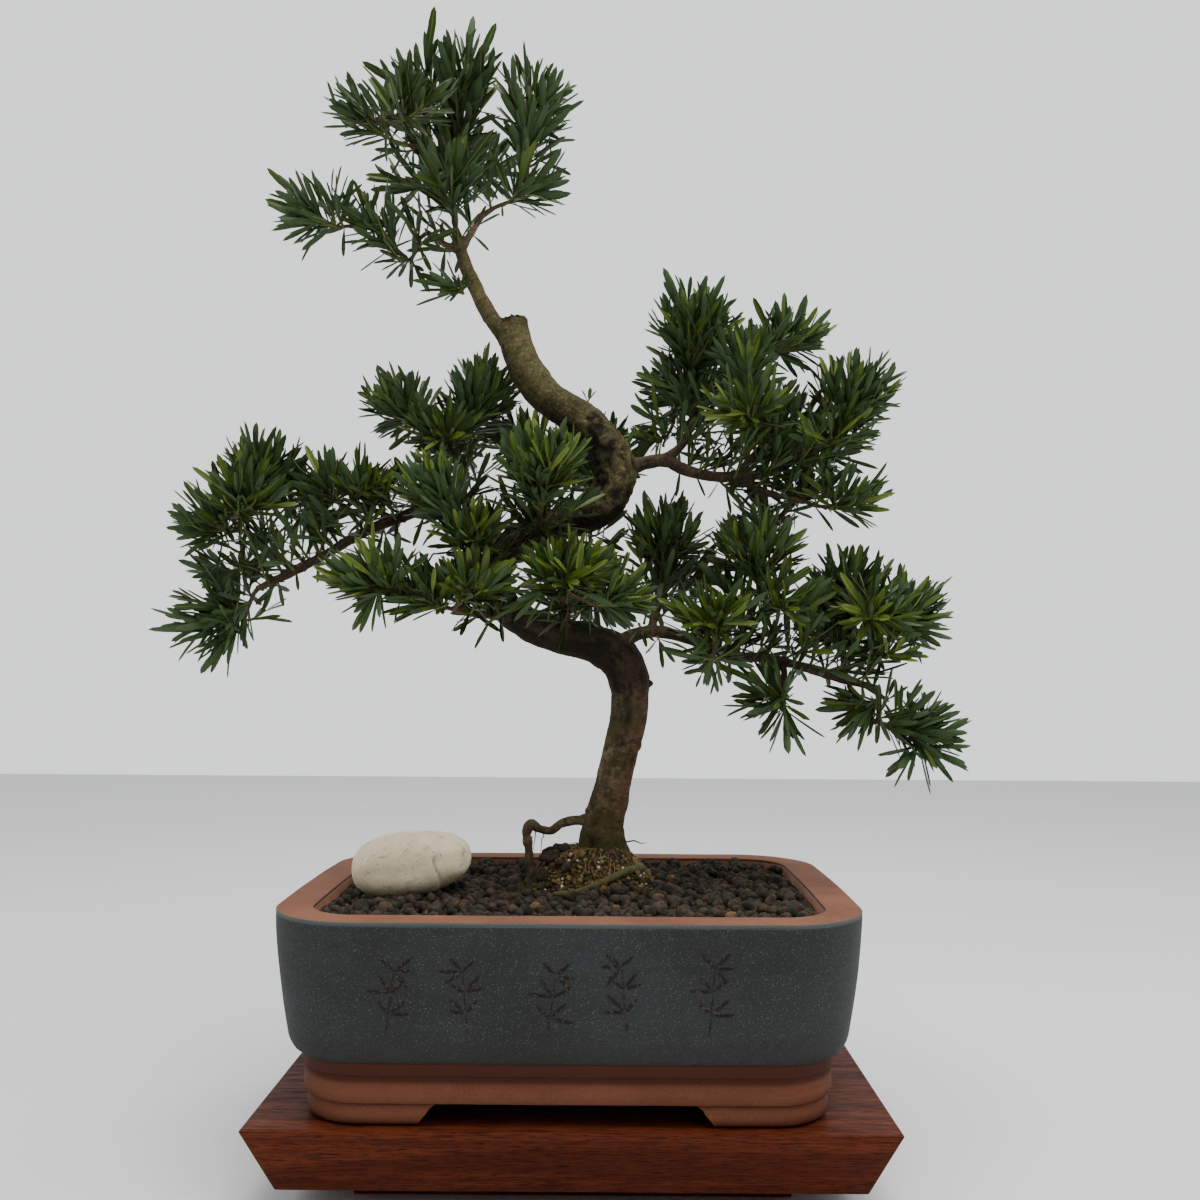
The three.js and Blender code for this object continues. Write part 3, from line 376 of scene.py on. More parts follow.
def add_mesh(name, points, groups, materials, slot, picks=None, sharp=None):
    """A mesh object from points in millimetres and arrays of faces with 3 or 4 corners each."""
    mesh = bpy.data.meshes.new(name)
    corners = np.concatenate([group.ravel() for group in groups]).astype(np.int32)
    sizes = np.concatenate([np.full(len(group), group.shape[1]) for group in groups])
    mesh.vertices.add(len(points))
    write_points(mesh, points)
    mesh.loops.add(len(corners))
    mesh.loops.foreach_set("vertex_index", corners)
    mesh.polygons.add(len(sizes))
    mesh.polygons.foreach_set("loop_start", (np.cumsum(sizes) - sizes).astype(np.int32))
    mesh.update(calc_edges=True)
    mesh.shade_smooth()
    if picks is not None:
        mesh.polygons.foreach_set("material_index", np.asarray(picks, np.int32))
    if sharp is not None:
        mark_sharp(mesh, sharp)
    for material in materials:
        mesh.materials.append(material)
    piece = add_object(name, mesh)
    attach(piece, "root")
    return piece


def write_points(mesh, points):
    mesh.vertices.foreach_set("co", (np.asarray(points) * MM).astype(np.float32).ravel())


def read_vectors(items, name):
    values = np.zeros(len(items) * 3, np.float32)
    items.foreach_get(name, values)
    return values.reshape(-1, 3).astype(float)


def mark_sharp(mesh, flags):
    """Shading breaks along each edge whose two ends are flagged."""
    ends = np.zeros(len(mesh.edges) * 2, np.int32)
    mesh.edges.foreach_get("vertices", ends)
    both = np.asarray(flags)[ends.reshape(-1, 2)].all(axis=1)
    mesh.attributes.new("sharp_edge", "BOOLEAN", "EDGE").data.foreach_set("value", both)


def add_values(piece, name, values):
    """One number or one vector for each vertex, for a material to read."""
    values = np.asarray(values, np.float32)
    kind, field = ("FLOAT", "value") if values.ndim == 1 else ("FLOAT_VECTOR", "vector")
    piece.data.attributes.new(name, kind, "POINT").data.foreach_set(field, values.ravel())


def evaluated_copy(piece, name):
    """A new object that holds the piece's mesh with its modifiers applied."""
    bpy.context.view_layer.update()
    source = piece.evaluated_get(bpy.context.evaluated_depsgraph_get())
    mesh = bpy.data.meshes.new_from_object(source)
    mesh.name = name
    return add_object(name, mesh)


def circle(angles):
    return np.stack([np.cos(angles), np.sin(angles)], axis=-1)


def full_turn(count):
    """Angles evenly round a full turn."""
    return np.arange(count) / count * 2 * math.pi


def at_height(line, z):
    """A line of the plan lifted to one height or to a height for each of its points."""
    return np.column_stack([line, np.broadcast_to(z, len(line))])


def round_box(straight, radius, arc_steps, side_steps):
    """A rectangle with round corners, from half of each straight side and the corners' radius."""
    line = []
    for quarter in range(4):
        sign = np.array((1 if quarter in (0, 3) else -1, 1 if quarter < 2 else -1))
        angles = (quarter + np.arange(arc_steps + 1) / arc_steps) * math.pi / 2
        arc = sign * straight + radius * circle(angles)
        line.extend(arc)
        along = quarter % 2
        end = arc[-1] * ((1, -1) if along else (-1, 1))
        line.extend(mix(arc[-1], end, k / side_steps[along]) for k in range(1, side_steps[along]))
    return np.array(line)


def skin(rings, looped=False):
    """Points, quads and end fans of a skin over a stack of closed rings."""
    rings = np.asarray(rings, float)
    count, around = rings.shape[:2]
    here = np.arange(around)
    after = (here + 1) % around
    quads = []
    for k in range(count if looped else count - 1):
        low = k * around
        high = (k + 1) % count * around
        quads.append(np.stack([low + here, low + after, high + after, high + here], axis=1))
    points = rings.reshape(-1, 3)
    groups = [np.concatenate(quads)]
    if not looped:
        middles = rings[[0, -1]].mean(axis=1)
        low = np.stack([np.full(around, len(points)), after, here], axis=1)
        top = (count - 1) * around
        high = np.stack([np.full(around, len(points) + 1), top + here, top + after], axis=1)
        points = np.concatenate([points, middles])
        groups.append(np.concatenate([low, high]))
    return points, groups


def joined(parts):
    """Several (points, groups) as one, with faces of the same number of corners together."""
    by_corners, offset = {}, 0
    for points, groups in parts:
        for group in groups:
            by_corners.setdefault(group.shape[1], []).append(group + offset)
        offset += len(points)
    every = np.concatenate([points for points, _ in parts])
    return every, [np.concatenate(groups) for groups in by_corners.values()]


def repeated(faces, count, size):
    """The faces of count copies of a form that has size points."""
    return (faces[None] + np.arange(count)[:, None, None] * size).reshape(-1, faces.shape[1])


def tube(route, radii, sides):
    """A tapering tube with closed ends through the points of a route."""
    route = np.asarray(route, float)
    ring = circle(full_turn(sides))
    radii = np.broadcast_to(radii, len(route))
    return skin([
        middle + radius * (np.outer(ring[:, 0], across) + np.outer(ring[:, 1], third))
        for middle, radius, (_, across, third) in zip(route, radii, transported(route))])


def transported(route):
    """Tangent and two cross directions at each point of a route, without needless twist."""
    tangents = unit(np.gradient(route, axis=0))
    helper = (1.0, 0.0, 0.0) if abs(tangents[0][2]) > 0.7 else UP
    across = unit(np.cross(helper, tangents[0]))
    frames = []
    for tangent in tangents:
        across = unit(across - across.dot(tangent) * tangent)
        frames.append((tangent, across, np.cross(tangent, across)))
    return frames


# Materials. A colour is a tuple of red, green and blue as a screen shows them, from 0 to 255.

def linear(colour):
    """Blender's linear colour. What is no tuple is a socket already."""
    if not isinstance(colour, tuple):
        return colour
    shares = [value / 255 for value in colour]
    return (*(s / 12.92 if s <= 0.04045 else ((s + 0.055) / 1.055) ** 2.4 for s in shares), 1.0)


def add_node(tree, kind, inputs, output=0, **settings):
    """An output of a new shader node, whose inputs are sockets or constants."""
    node = tree.nodes.new("ShaderNode" + kind)
    for name, value in settings.items():
        setattr(node, name, value)
    for name, value in inputs.items():
        if isinstance(value, bpy.types.NodeSocket):
            tree.links.new(value, node.inputs[name])
        else:
            node.inputs[name].default_value = value
    return node.outputs[output]


def add_ramp(tree, value, low, high, start, end):
    """value from low to high, mapped smoothly to start to end."""
    inputs = {"Value": value, "From Min": low, "From Max": high, "To Min": start, "To Max": end}
    return add_node(tree, "MapRange", inputs, "Result", interpolation_type="SMOOTHSTEP")


class Paint:
    """A Principled material whose colour is laid on in layers."""

    def __init__(self, name, roughness, specular):
        self.material = bpy.data.materials.new(name)
        self.material.use_nodes = True
        self.tree = self.material.node_tree
        self.shader = self.tree.nodes["Principled BSDF"].inputs
        self.shader["Roughness"].default_value = roughness
        self.shader["Specular IOR Level"].default_value = specular
        self.place = add_node(self.tree, "TexCoord", {}, "Object")

    def noise(self, size, detail=3.0, roughness=0.55, stretch=(1, 1, 1), distortion=0.0, place=None):
        """Noise whose grains are about size millimetres wide, times stretch."""
        scale = [1 / (size * MM * s) for s in stretch]
        spot = add_node(self.tree, "Mapping", {"Vector": place or self.place, "Scale": scale})
        return add_node(self.tree, "TexNoise", {
            "Vector": spot, "Scale": 1.0, "Detail": detail, "Roughness": roughness,
            "Distortion": distortion})

    def between(self, value, low, high, end=1.0, start=0.0):
        return add_ramp(self.tree, value, low, high, start, end)

    def patches(self, size, low, high, end=1.0, **noise):
        """Noise made into patches with soft edges."""
        return self.between(self.noise(size, **noise), low, high, end)

    def specks(self, size, low, high):
        """Round dots about size millimetres apart."""
        cells = add_node(self.tree, "TexVoronoi", {"Vector": self.place, "Scale": 1 / (size * MM)})
        return self.between(cells, low, high)

    def rise(self, low, high, end):
        """From 0 at one height in millimetres to end at another."""
        height = add_node(self.tree, "SeparateXYZ", {"Vector": self.place}, "Z")
        return self.between(height, low * MM, high * MM, end)

    def values(self, name, output="Fac"):
        return add_node(self.tree, "Attribute", {}, output, attribute_name=name)

    def product(self, first, second):
        return add_node(self.tree, "Math", {0: first, 1: second}, operation="MULTIPLY")

    def blend(self, share, first, second):
        inputs = {0: share, 6: linear(first), 7: linear(second)}
        return add_node(self.tree, "Mix", inputs, 2, data_type="RGBA")

    def base(self, share, first, second):
        self.tone = self.blend(share, first, second)

    def over(self, share, colour):
        """Lays a colour over what is there already."""
        self.tone = self.blend(share, self.tone, colour)

    def bump(self, height, distance):
        """Relief of about distance millimetres, on top of any there already."""
        inputs = {"Strength": 1.0, "Distance": distance * MM, "Height": height}
        normal = self.shader["Normal"]
        if normal.links:
            inputs["Normal"] = normal.links[0].from_socket
        self.tree.links.new(add_node(self.tree, "Bump", inputs), normal)

    def done(self):
        self.tree.links.new(self.tone, self.shader["Base Color"])
        return self.material


def paint_plain(name, dark, light, roughness, specular, size, detail, relief=None):
    """Two tones in soft patches, with a fine relief given by size, detail and distance."""
    paint = Paint(name, roughness, specular)
    paint.base(paint.noise(size, detail=detail), dark, light)
    if relief:
        paint.bump(paint.noise(relief[0], detail=relief[1]), relief[2])
    return paint.done()


def paint_leaf(name, dark, light, roughness=0.4):
    return paint_plain(name, dark, light, roughness, 0.24, 22, 2, (5, 2, 0.25))


def paint_twig(name, dark, light):
    return paint_plain(name, dark, light, 0.8, 0.3, 4, 4, (1.5, 3, 0.4))


def paint_bark():
    paint = Paint("bark_grey_brown", 0.88, 0.2)
    broad = paint.patches(34, 0.38, 0.62, detail=4)
    fine = paint.noise(5, detail=6, roughness=0.65)
    wrinkles = paint.noise(1.9, detail=4, roughness=0.6, stretch=(1, 7, 7), distortion=0.4,
        place=paint.values("limb", "Vector"))
    low = paint.blend(broad, (96, 80, 62), (130, 111, 86))
    low = paint.blend(paint.product(paint.values("red"), 0.7), low, (112, 76, 58))
    high = paint.blend(broad, (67, 65, 36), (100, 94, 56))
    paint.base(paint.values("tone"), low, high)
    paint.over(paint.between(fine, 0.35, 0.7, 0.5), (46, 38, 29))
    paint.over(paint.between(wrinkles, 0.5, 0.66, 0.6), (38, 32, 21))
    paint.over(paint.product(paint.patches(2.2, 0.52, 0.68), 0.42), (138, 124, 98))
    paint.over(paint.values("moss"), paint.blend(fine, (42, 43, 24), (86, 81, 47)))
    # Painted shade from the bark's mask, together with the stub's dark cut and the darker bark of
    # boughs and roots
    paint.over(paint.values("bark_dark_and_painted_shade"), (26, 21, 16))
    paint.bump(wrinkles, 0.7)
    paint.bump(paint.noise(7, detail=6, roughness=0.7), 1.2)
    paint.bump(paint.noise(1.6, detail=4, roughness=0.7), 0.5)
    return paint.done()


def paint_stoneware():
    paint = Paint("stoneware_blue_grey", 0.72, 0.3)
    paint.base(paint.patches(120, 0.35, 0.65), (36, 39, 37), (44, 48, 48))
    paint.over(paint.patches(9, 0.4, 0.7, 0.35, detail=4, stretch=(6, 6, 0.7)), (34, 36, 34))
    rare = paint.patches(2.8, 0.48, 0.56, 0.8, detail=1)
    paint.over(paint.product(paint.specks(1.9, 0.22, 0.12), rare), (98, 103, 97))
    paint.over(paint.patches(1.1, 0.58, 0.7, 0.55, detail=2), (84, 90, 88))
    paint.over(paint.patches(1.6, 0.6, 0.68, 0.5, detail=2), (30, 35, 36))
    paint.over(paint.rise(128, 106, 0.5), (34, 33, 29))
    # A lighter band at the body's top edge under the rim: painted highlight, with the glaze thinner
    # there
    paint.over(paint.rise(191.6, 193.2, 0.4), (112, 122, 122))
    paint.over(paint.values("groove"),
        paint.blend(paint.patches(2.4, 0.5, 0.7), (24, 21, 19), (88, 72, 54)))
    paint.bump(paint.noise(1.3, detail=4, roughness=0.7), 0.25)
    paint.bump(paint.noise(14, detail=2, stretch=(3, 3, 1)), 0.5)
    return paint.done()


def paint_terracotta():
    paint = Paint("terracotta_sandy", 0.85, 0.25)
    grain = paint.noise(1.4, detail=4, roughness=0.7)
    redder_and_shaded_below = paint.rise(104, 102.5, 0.55)
    paint.base(paint.patches(60, 0.35, 0.65, detail=4), (112, 71, 50), (130, 84, 61))
    paint.over(paint.between(grain, 0.5, 0.72, 0.5), (96, 54, 37))
    paint.over(paint.between(grain, 0.42, 0.3, 0.45), (184, 134, 102))
    # Below the body the clay is redder and darker, the darkening partly painted shade under the body's
    # overhang
    paint.over(redder_and_shaded_below, (86, 42, 26))
    # Painted shade on the neck, from about 88 to 104 mm, under the body's overhang
    paint.over(paint.product(redder_and_shaded_below, paint.rise(87.5, 90.5, 1.5)), (62, 29, 20))
    paint.bump(grain, 0.35)
    return paint.done()


def paint_wood():
    paint = Paint("stand_mahogany", 0.55, 0.05)
    grain = paint.noise(1.3, detail=5, roughness=0.65, stretch=(17, 1.6, 1), distortion=0.2)
    bands = paint.patches(16, 0.35, 0.65, stretch=(18, 1, 1), distortion=0.6)
    paint.base(bands, (78, 33, 18), (102, 48, 27))
    paint.over(paint.between(grain, 0.45, 0.66, 0.8), (48, 20, 14))
    paint.over(paint.patches(0.8, 0.56, 0.64, 0.75, detail=2, stretch=(11, 1, 1)), (34, 15, 11))
    paint.over(paint.specks(26, 0.05, 0.02), (26, 14, 12))
    paint.tree.links.new(paint.between(grain, 0.3, 0.7, 0.62, 0.42), paint.shader["Roughness"])
    paint.bump(grain, 0.12)
    return paint.done()


def paint_stone():
    paint = Paint("stone_cream", 0.62, 0.4)
    paint.base(paint.patches(40, 0.38, 0.62), (230, 213, 180), (252, 239, 204))
    paint.over(paint.patches(9, 0.52, 0.7, 0.5, detail=5, roughness=0.65), (176, 158, 128))
    paint.over(paint.rise(204, 190, 0.55), (150, 150, 128))
    paint.over(paint.patches(1.7, 0.64, 0.7, 0.7, detail=2), (120, 104, 84))
    paint.over(paint.values("crease"), (120, 88, 60))
    paint.bump(paint.noise(1.5, detail=4), 0.25)
    return paint.done()


def paint_grain(name, dark, light):
    paint = Paint(name, 0.93, 0.2)
    fine = paint.noise(1.6, detail=4, roughness=0.7)
    paint.base(paint.patches(7, 0.35, 0.65), dark, light)
    paint.over(paint.between(fine, 0.5, 0.38, 0.55), (26, 22, 18))
    paint.bump(fine, 0.9)
    return paint.done()


def paint_soil():
    paint = Paint("soil_bed", 0.97, 0.15)
    grit = paint.blend(paint.patches(2.2, 0.42, 0.6, detail=4), (42, 33, 24), (112, 92, 60))
    green = paint.blend(paint.noise(1.5), (40, 41, 20), (80, 76, 40))
    # The bed is very dark as painted shade between the grains that lie on it; the mound's grit and
    # green go over it
    paint.base(paint.noise(3, detail=4), (14, 12, 10), (34, 28, 23))
    paint.over(paint.values("mound"), paint.blend(paint.patches(14, 0.5, 0.6), grit, green))
    paint.bump(paint.noise(2.2, detail=5, roughness=0.7), 1.6)
    return paint.done()


# Pot

def pot_ring(inset_x, inset_y, arc_steps, side_steps):
    """One closed line of the pot's plan, with its sides cut into side_steps along x and along y."""
    corner = max(POT_CORNER - (inset_x + inset_y) / 2, POT_CORNER_LEAST)
    straight = [POT_HALF[0] - inset_x - corner, POT_HALF[1] - inset_y - corner]
    x, y = round_box(straight, corner, arc_steps, side_steps).T
    bow_x = POT_BOW[0] * np.sign(x) * (1 - (y / POT_HALF[1]) ** 2) * abs(x) / POT_HALF[0]
    bow_y = POT_BOW[1] * np.sign(y) * (1 - (x / POT_HALF[0]) ** 2) * abs(y) / POT_HALF[1]
    return np.stack([POT_CENTRE_X + x + bow_x, y + bow_y], axis=1)


def pot_stack(profile, side_steps):
    return np.array([at_height(pot_ring(x, y, POT_ARC_STEPS, side_steps), z) for x, y, z in profile])


def rounded(profile, radius, steps):
    """A profile whose inner corners are rounded by a quadratic curve of about that radius."""
    profile = np.asarray(profile, float)
    line = [profile[0]]
    for before, corner, after in zip(profile, profile[1:], profile[2:]):
        reach = min(radius, np.linalg.norm(corner - before) / 2, np.linalg.norm(after - corner) / 2)
        start = corner + unit(before - corner) * reach
        end = corner + unit(after - corner) * reach
        for k in range(steps + 1):
            t = k / steps
            line.append((1 - t) ** 2 * start + 2 * t * (1 - t) * corner + t * t * end)
    line.append(profile[-1])
    return line


def wall_row(z):
    """The wall's insets along x and y at a height."""
    top = POT_TOP - RIM_HEIGHT
    fall = max(0.0, (top - z) / (top - BODY_BOTTOM))
    turn = max(0.0, (fall - WALL_ROUND_FROM) / (1 - WALL_ROUND_FROM))
    inset = WALL_DRAW * fall ** WALL_POWER + WALL_ROUND * turn * turn
    return [inset, inset * LONG_SIDE_DRAW, z]


def by_row(profile, rings, chosen, looped=False):
    """For each face of a skin over a profile's rings, 1 where both rows pass the test, else 0."""
    around = len(rings[0])
    nexts = profile[1:] + (profile[:1] if looped else [])
    kinds = [int(chosen(low) and chosen(high)) for low, high in zip(profile, nexts)]
    return np.concatenate([np.repeat(kinds, around), np.zeros(0 if looped else 2 * around, int)])


# Incised sprigs of bamboo on the front: [x, z, lean] of each stalk's foot, how tall they are, how
# deep they are cut, the heights between which the wall's rows are as fine as its cells, and how
# far from the middle they may stand

SPRIGS = [[-121, 122, 0.12], [-68, 124, -0.08], [-16, 121, 0.13], [36, 124, -0.1], [89, 122, 0.08]]
SPRIG_HEIGHT = 46
SPRIG_DEPTH = 0.9
SPRIG_CELL = 0.8
SPRIG_BAND = (118, 178)
SPRIG_REACH = 160


def pointing(angle):
    """The direction in the wall that leans by an angle from straight up."""
    return np.array((math.sin(angle), math.cos(angle)))


def sprig_strokes():
    """Strokes as [x, z, x, z, half width] for every stalk and leaf."""
    rng = np.random.default_rng(SEED)
    strokes = []
    for x, z, lean in SPRIGS:
        foot = np.array((x, z), float)
        height = SPRIG_HEIGHT * rng.uniform(0.85, 1.0)
        heading = pointing(lean)
        for k in range(3):
            top = foot + heading * height / 3.2
            strokes.append([*foot, *(top - heading), 0.65])
            side = 1 if (k + (lean > 0)) % 2 else -1
            for turn in (0.75, 1.5, 2.3)[: 2 + (k == 2)]:
                leaf = pointing(lean + side * turn * rng.uniform(0.9, 1.1))
                length = rng.uniform(10, 15)
                start = top + leaf * 1.5
                strokes.append([*start, *(start + leaf * length), 1.3])
            leaf = pointing(lean - side * rng.uniform(0.7, 1.0))
            strokes.append([*top, *(top + leaf * rng.uniform(10, 14)), 1.2])
            foot = top + heading
    return strokes


def groove_depth(x, z):
    """How deep the strokes cut at points of the front, from 0 to 1."""
    depth = np.zeros(len(x))
    for x0, z0, x1, z1, half in sprig_strokes():
        along = np.array((x1 - x0, z1 - z0))
        share = np.clip(((x - x0) * along[0] + (z - z0) * along[1]) / along.dot(along), 0, 1)
        apart = np.hypot(x - x0 - share * along[0], z - z0 - share * along[1])
        width = half * np.sqrt(np.clip(4 * share * (1 - share), 0.08, 1))
        depth = np.maximum(depth, ease(width + 0.35, width - 0.45, apart))
    return depth


def make_pot_body(material, clay):
    top = POT_TOP - RIM_HEIGHT
    low, high = SPRIG_BAND
    heights = np.concatenate([
        np.linspace(BODY_BOTTOM, low, 9)[1:-1], np.arange(low, high, SPRIG_CELL),
        np.linspace(high, top - 0.6, 6)])
    foot = np.array(wall_row(BODY_BOTTOM)) + (1.2, 1.2, 0)
    profile = [
        tuple(foot), *(wall_row(z) for z in heights), (0.1, 0.1, top - 0.15), (0.5, 0.5, top),
        (POT_BORE, POT_BORE, top), (POT_BORE, POT_BORE, POT_FLOOR)]
    rings = pot_stack(profile, (int(2 * (POT_HALF[0] - POT_CORNER) / SPRIG_CELL), 40))
    points, groups = skin(rings)
    x, y, z = points.T
    front = (y < -POT_HALF[1] * 0.7) & (abs(x) < SPRIG_REACH) & (z > low - 2) & (z < high)
    groove = np.where(front, groove_depth(x, z), 0)
    outward = unit(np.column_stack([x - POT_CENTRE_X, y, np.zeros(len(x))]))
    wobble = 0.22 * fractal(points, 30, 2, 5) + 0.05 * noise(points, 4, 9)
    points = points + outward * np.where(abs(z - POT_FLOOR) < 1, 0, wobble)[:, None]
    points[:, 1] += groove * SPRIG_DEPTH
    inner = by_row(profile, rings, lambda row: row[0] > POT_BORE - 1)
    piece = add_mesh("pot_wall", points, groups, [material, clay], "stoneware", picks=inner)
    add_values(piece, "groove", groove)
    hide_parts("pot_body")


def make_pot_rim(material, glaze):
    low = POT_TOP - RIM_HEIGHT + 0.1
    corners = [(0.1, 0.1, low), (0, 0, low + 0.6), (0, 0, POT_TOP), (RIM_WIDTH, RIM_WIDTH, POT_TOP),
        (RIM_WIDTH, RIM_WIDTH, low)]
    profile = rounded(corners, 1.0, 5)
    rings = pot_stack(profile, (90, 60))
    points, groups = skin(rings, looped=True)
    points = points + 0.16 * noise(points, 26, 3)[:, None] * (0, 0, 1)
    outer = by_row(profile, rings, lambda row: row[0] < 0.45, looped=True)
    piece = add_mesh("pot_lip", points, groups, [material, glaze], "terracotta", picks=outer)
    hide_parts("pot_rim")


# Profiles of the base and the feet: insets along x and y, and the height above their undersides

BASE_PROFILE = [(40, 30, 0), (26, 14.5, 0), (23.6, 12, 2), (22.7, 10.9, 5.5), (22.7, 10.9, 9),
    (23.5, 12.4, 12.6), (22.3, 15.2, 15.5), (21.7, 15, 19), (21, 14.3, 23), (20.4, 12.8, 26.9),
    (30, 22, 26.9)]
FOOT_PROFILE = [(60, 50, 0), (28.5, 17.5, 0), (25.6, 14, 2.6), (24.9, 12.9, 7.4), (25.8, 13.8, 11.5),
    (27.5, 15.5, 14.8), (60, 50, 14.8)]
FOOT_LEVELS = 22
FAR = 300


def moulding(profile, bottom, side_steps):
    return skin(pot_stack(rounded([(x, y, bottom + z) for x, y, z in profile], 3.0, 3), side_steps))


def make_pot_base(material):
    points, groups = moulding(BASE_PROFILE, BASE_BOTTOM, (60, 40))
    points = points + 0.15 * unit(points - (POT_CENTRE_X, 0, 87)) * noise(points, 18, 12)[:, None]
    piece = add_mesh("pot_foot_ring", points, groups, [material], "terracotta")
    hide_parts("pot_base")


def foot_lean(z):
    """How far a foot's inner end stands back from the gap's edge: round below, flaring out above."""
    rise = (z - FOOT_BOTTOM) / (BASE_BOTTOM - FOOT_BOTTOM)
    slope = mix(FOOT_SPLAY, 1.0, ease(0.0, 1.0, rise))
    return slope + 2 * (1 - min(rise / 0.22, 1)) ** 2 - 4 * max(0.0, (rise - 0.75) / 0.25) ** 2


def corner_block(sign_x, sign_y):
    """A block over one corner of the base, whose inner sides are the foot's inner ends."""
    rings = []
    for z in np.linspace(FOOT_BOTTOM - 2, BASE_BOTTOM + 2, FOOT_LEVELS):
        near_x, near_y = np.array(FOOT_GAP) + foot_lean(min(max(z, FOOT_BOTTOM), BASE_BOTTOM))
        square = np.array([(near_x, near_y), (FAR, near_y), (FAR, FAR), (near_x, FAR)])
        square = square * (sign_x, sign_y) + (POT_CENTRE_X, 0)
        rings.append(at_height(square[::sign_x * sign_y], z))
    return skin(rings)


def make_pot_feet(material):
    form = moulding(FOOT_PROFILE, FOOT_BOTTOM, (120, 80))
    for side, end in itertools.product(("left", "right"), ("front", "back")):
        slab = add_mesh("foot_slab", *form, [material], "terracotta")
        corner = corner_block(-1 if side == "left" else 1, -1 if end == "front" else 1)
        block = add_mesh("foot_block", *corner, [material], "terracotta")
        cut = slab.modifiers.new("cut", "BOOLEAN")
        cut.operation = "INTERSECT"
        cut.object = block
        foot = evaluated_copy(slab, f"foot_{end}_{side}")
        foot.data.shade_smooth()
        foot.data.set_sharp_from_angle(angle=math.radians(40))
        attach(foot, "root")
        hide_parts(f"pot_foot_{end}_{side}")
        for spare in (slab, block):
            bpy.data.objects.remove(spare)


# Stand

def make_stand(material):
    half = np.array(STAND_TOP) / 2
    corners = [(60, PLINTH_HEIGHT), (STAND_UNDERCUT, PLINTH_HEIGHT), (0.2, STAND_HEIGHT - 0.6),
        (1.4, STAND_HEIGHT), (60, STAND_HEIGHT)]
    rings = [
        at_height(round_box(half - inset - STAND_ROUND, STAND_ROUND, 4, (16, 16)), z)
        for inset, z in rounded(corners, 1.0, 3)]
    slab = add_mesh("slab", *skin(rings), [material], "stand_wood")
    slab.data.set_sharp_from_angle(angle=math.radians(35))
    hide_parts("stand_slab")
    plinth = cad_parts["stand_plinth"].data.materials
    plinth.clear()
    plinth.append(material)


# Soil

def soil_height(x, y):
    share = np.hypot((x - MOUND_CENTRE[0]) / MOUND_REACH[0], (y - MOUND_CENTRE[1]) / MOUND_REACH[1])
    return mix(MOUND_TOP, SOIL_LEVEL, ease(MOUND_FLAT, 1, share))


def make_soil_bed(material):
    edge = pot_ring(SOIL_INSET, SOIL_INSET, 8, (44, 30))
    rings = [at_height(edge, POT_FLOOR + 0.3)]
    for share in np.linspace(1, 0.03, 60):
        line = mix(np.array(MOUND_CENTRE), edge, share)
        rings.append(at_height(line, soil_height(*line.T)))
    points, groups = skin(rings)
    on_top = points[:, 2] > SOIL_LEVEL - 1
    mound = ease(SOIL_LEVEL + 1, SOIL_LEVEL + 9, points[:, 2])
    rough = fractal(points, 9, 3, 21) * mix(0.8, 1.5, mound)
    points[:, 2] += np.where(on_top, rough - 1.0, 0)
    piece = add_mesh("soil_bed", points, groups, [material], "soil")
    add_values(piece, "mound", mound)
    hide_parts("soil")


def ball(subdivisions):
    """Points and triangles of a unit ball of nearly even faces."""
    shape = bmesh.new()
    bmesh.ops.create_icosphere(shape, subdivisions=subdivisions, radius=1)
    points = np.array([vertex.co for vertex in shape.verts])
    faces = np.array([[vertex.index for vertex in face.verts] for face in shape.faces])
    shape.free()
    return points, faces


def random_turns(rng, count):
    """Random rotation matrices."""
    four = unit(rng.normal(size=(count, 4)))
    w, x, y, z = four.T
    return np.stack([
        1 - 2 * (y * y + z * z), 2 * (x * y - z * w), 2 * (x * z + y * w),
        2 * (x * y + z * w), 1 - 2 * (x * x + z * z), 2 * (y * z - x * w),
        2 * (x * z - y * w), 2 * (y * z + x * w), 1 - 2 * (x * x + y * y)], axis=1).reshape(-1, 3, 3)


def scatter(name, places, sizes, rng, materials, shares, slot, subdivisions=2, lumps=0.22, flat=0.8):
    """Lumpy stones of the given radii at the given places, their finishes dealt out by share."""
    shape, faces = ball(subdivisions)
    count = len(places)
    spots = shape[None] + rng.uniform(0, 100, (count, 1, 3))
    swell = 1 + lumps * noise(spots, 0.9, 31) + 0.4 * lumps * noise(spots, 0.4, 32)
    squeeze = rng.uniform(flat, 1.15, (count, 1, 3))
    forms = shape[None] * swell[..., None] * squeeze
    points = np.einsum("nij,nvj->nvi", random_turns(rng, count), forms)
    points = points * np.asarray(sizes)[:, None, None] + np.asarray(places)[:, None, :]
    picks = np.repeat(rng.choice(len(materials), size=count, p=shares), len(faces))
    groups = [repeated(faces, count, len(shape))]
    add_mesh(name, points.reshape(-1, 3), groups, materials, slot, picks=picks)


def inside_pot(x, y, margin):
    """Whether points lie inside the pot's bore, margin in from its wall."""
    corner = POT_CORNER - SOIL_INSET
    half_x, half_y = np.array(POT_HALF) - SOIL_INSET - margin
    past_x = np.maximum(abs(x - POT_CENTRE_X) - half_x + corner, 0)
    past_y = np.maximum(abs(y) - half_y + corner, 0)
    return np.hypot(past_x, past_y) < corner


def outside_stone(x, y, margin):
    span_x = (x - STONE_FOOT[0]) / (STONE_FOOT[2] + margin)
    span_y = (y - STONE_FOOT[1]) / (STONE_FOOT[3] + margin)
    return np.hypot(span_x, span_y) > 1


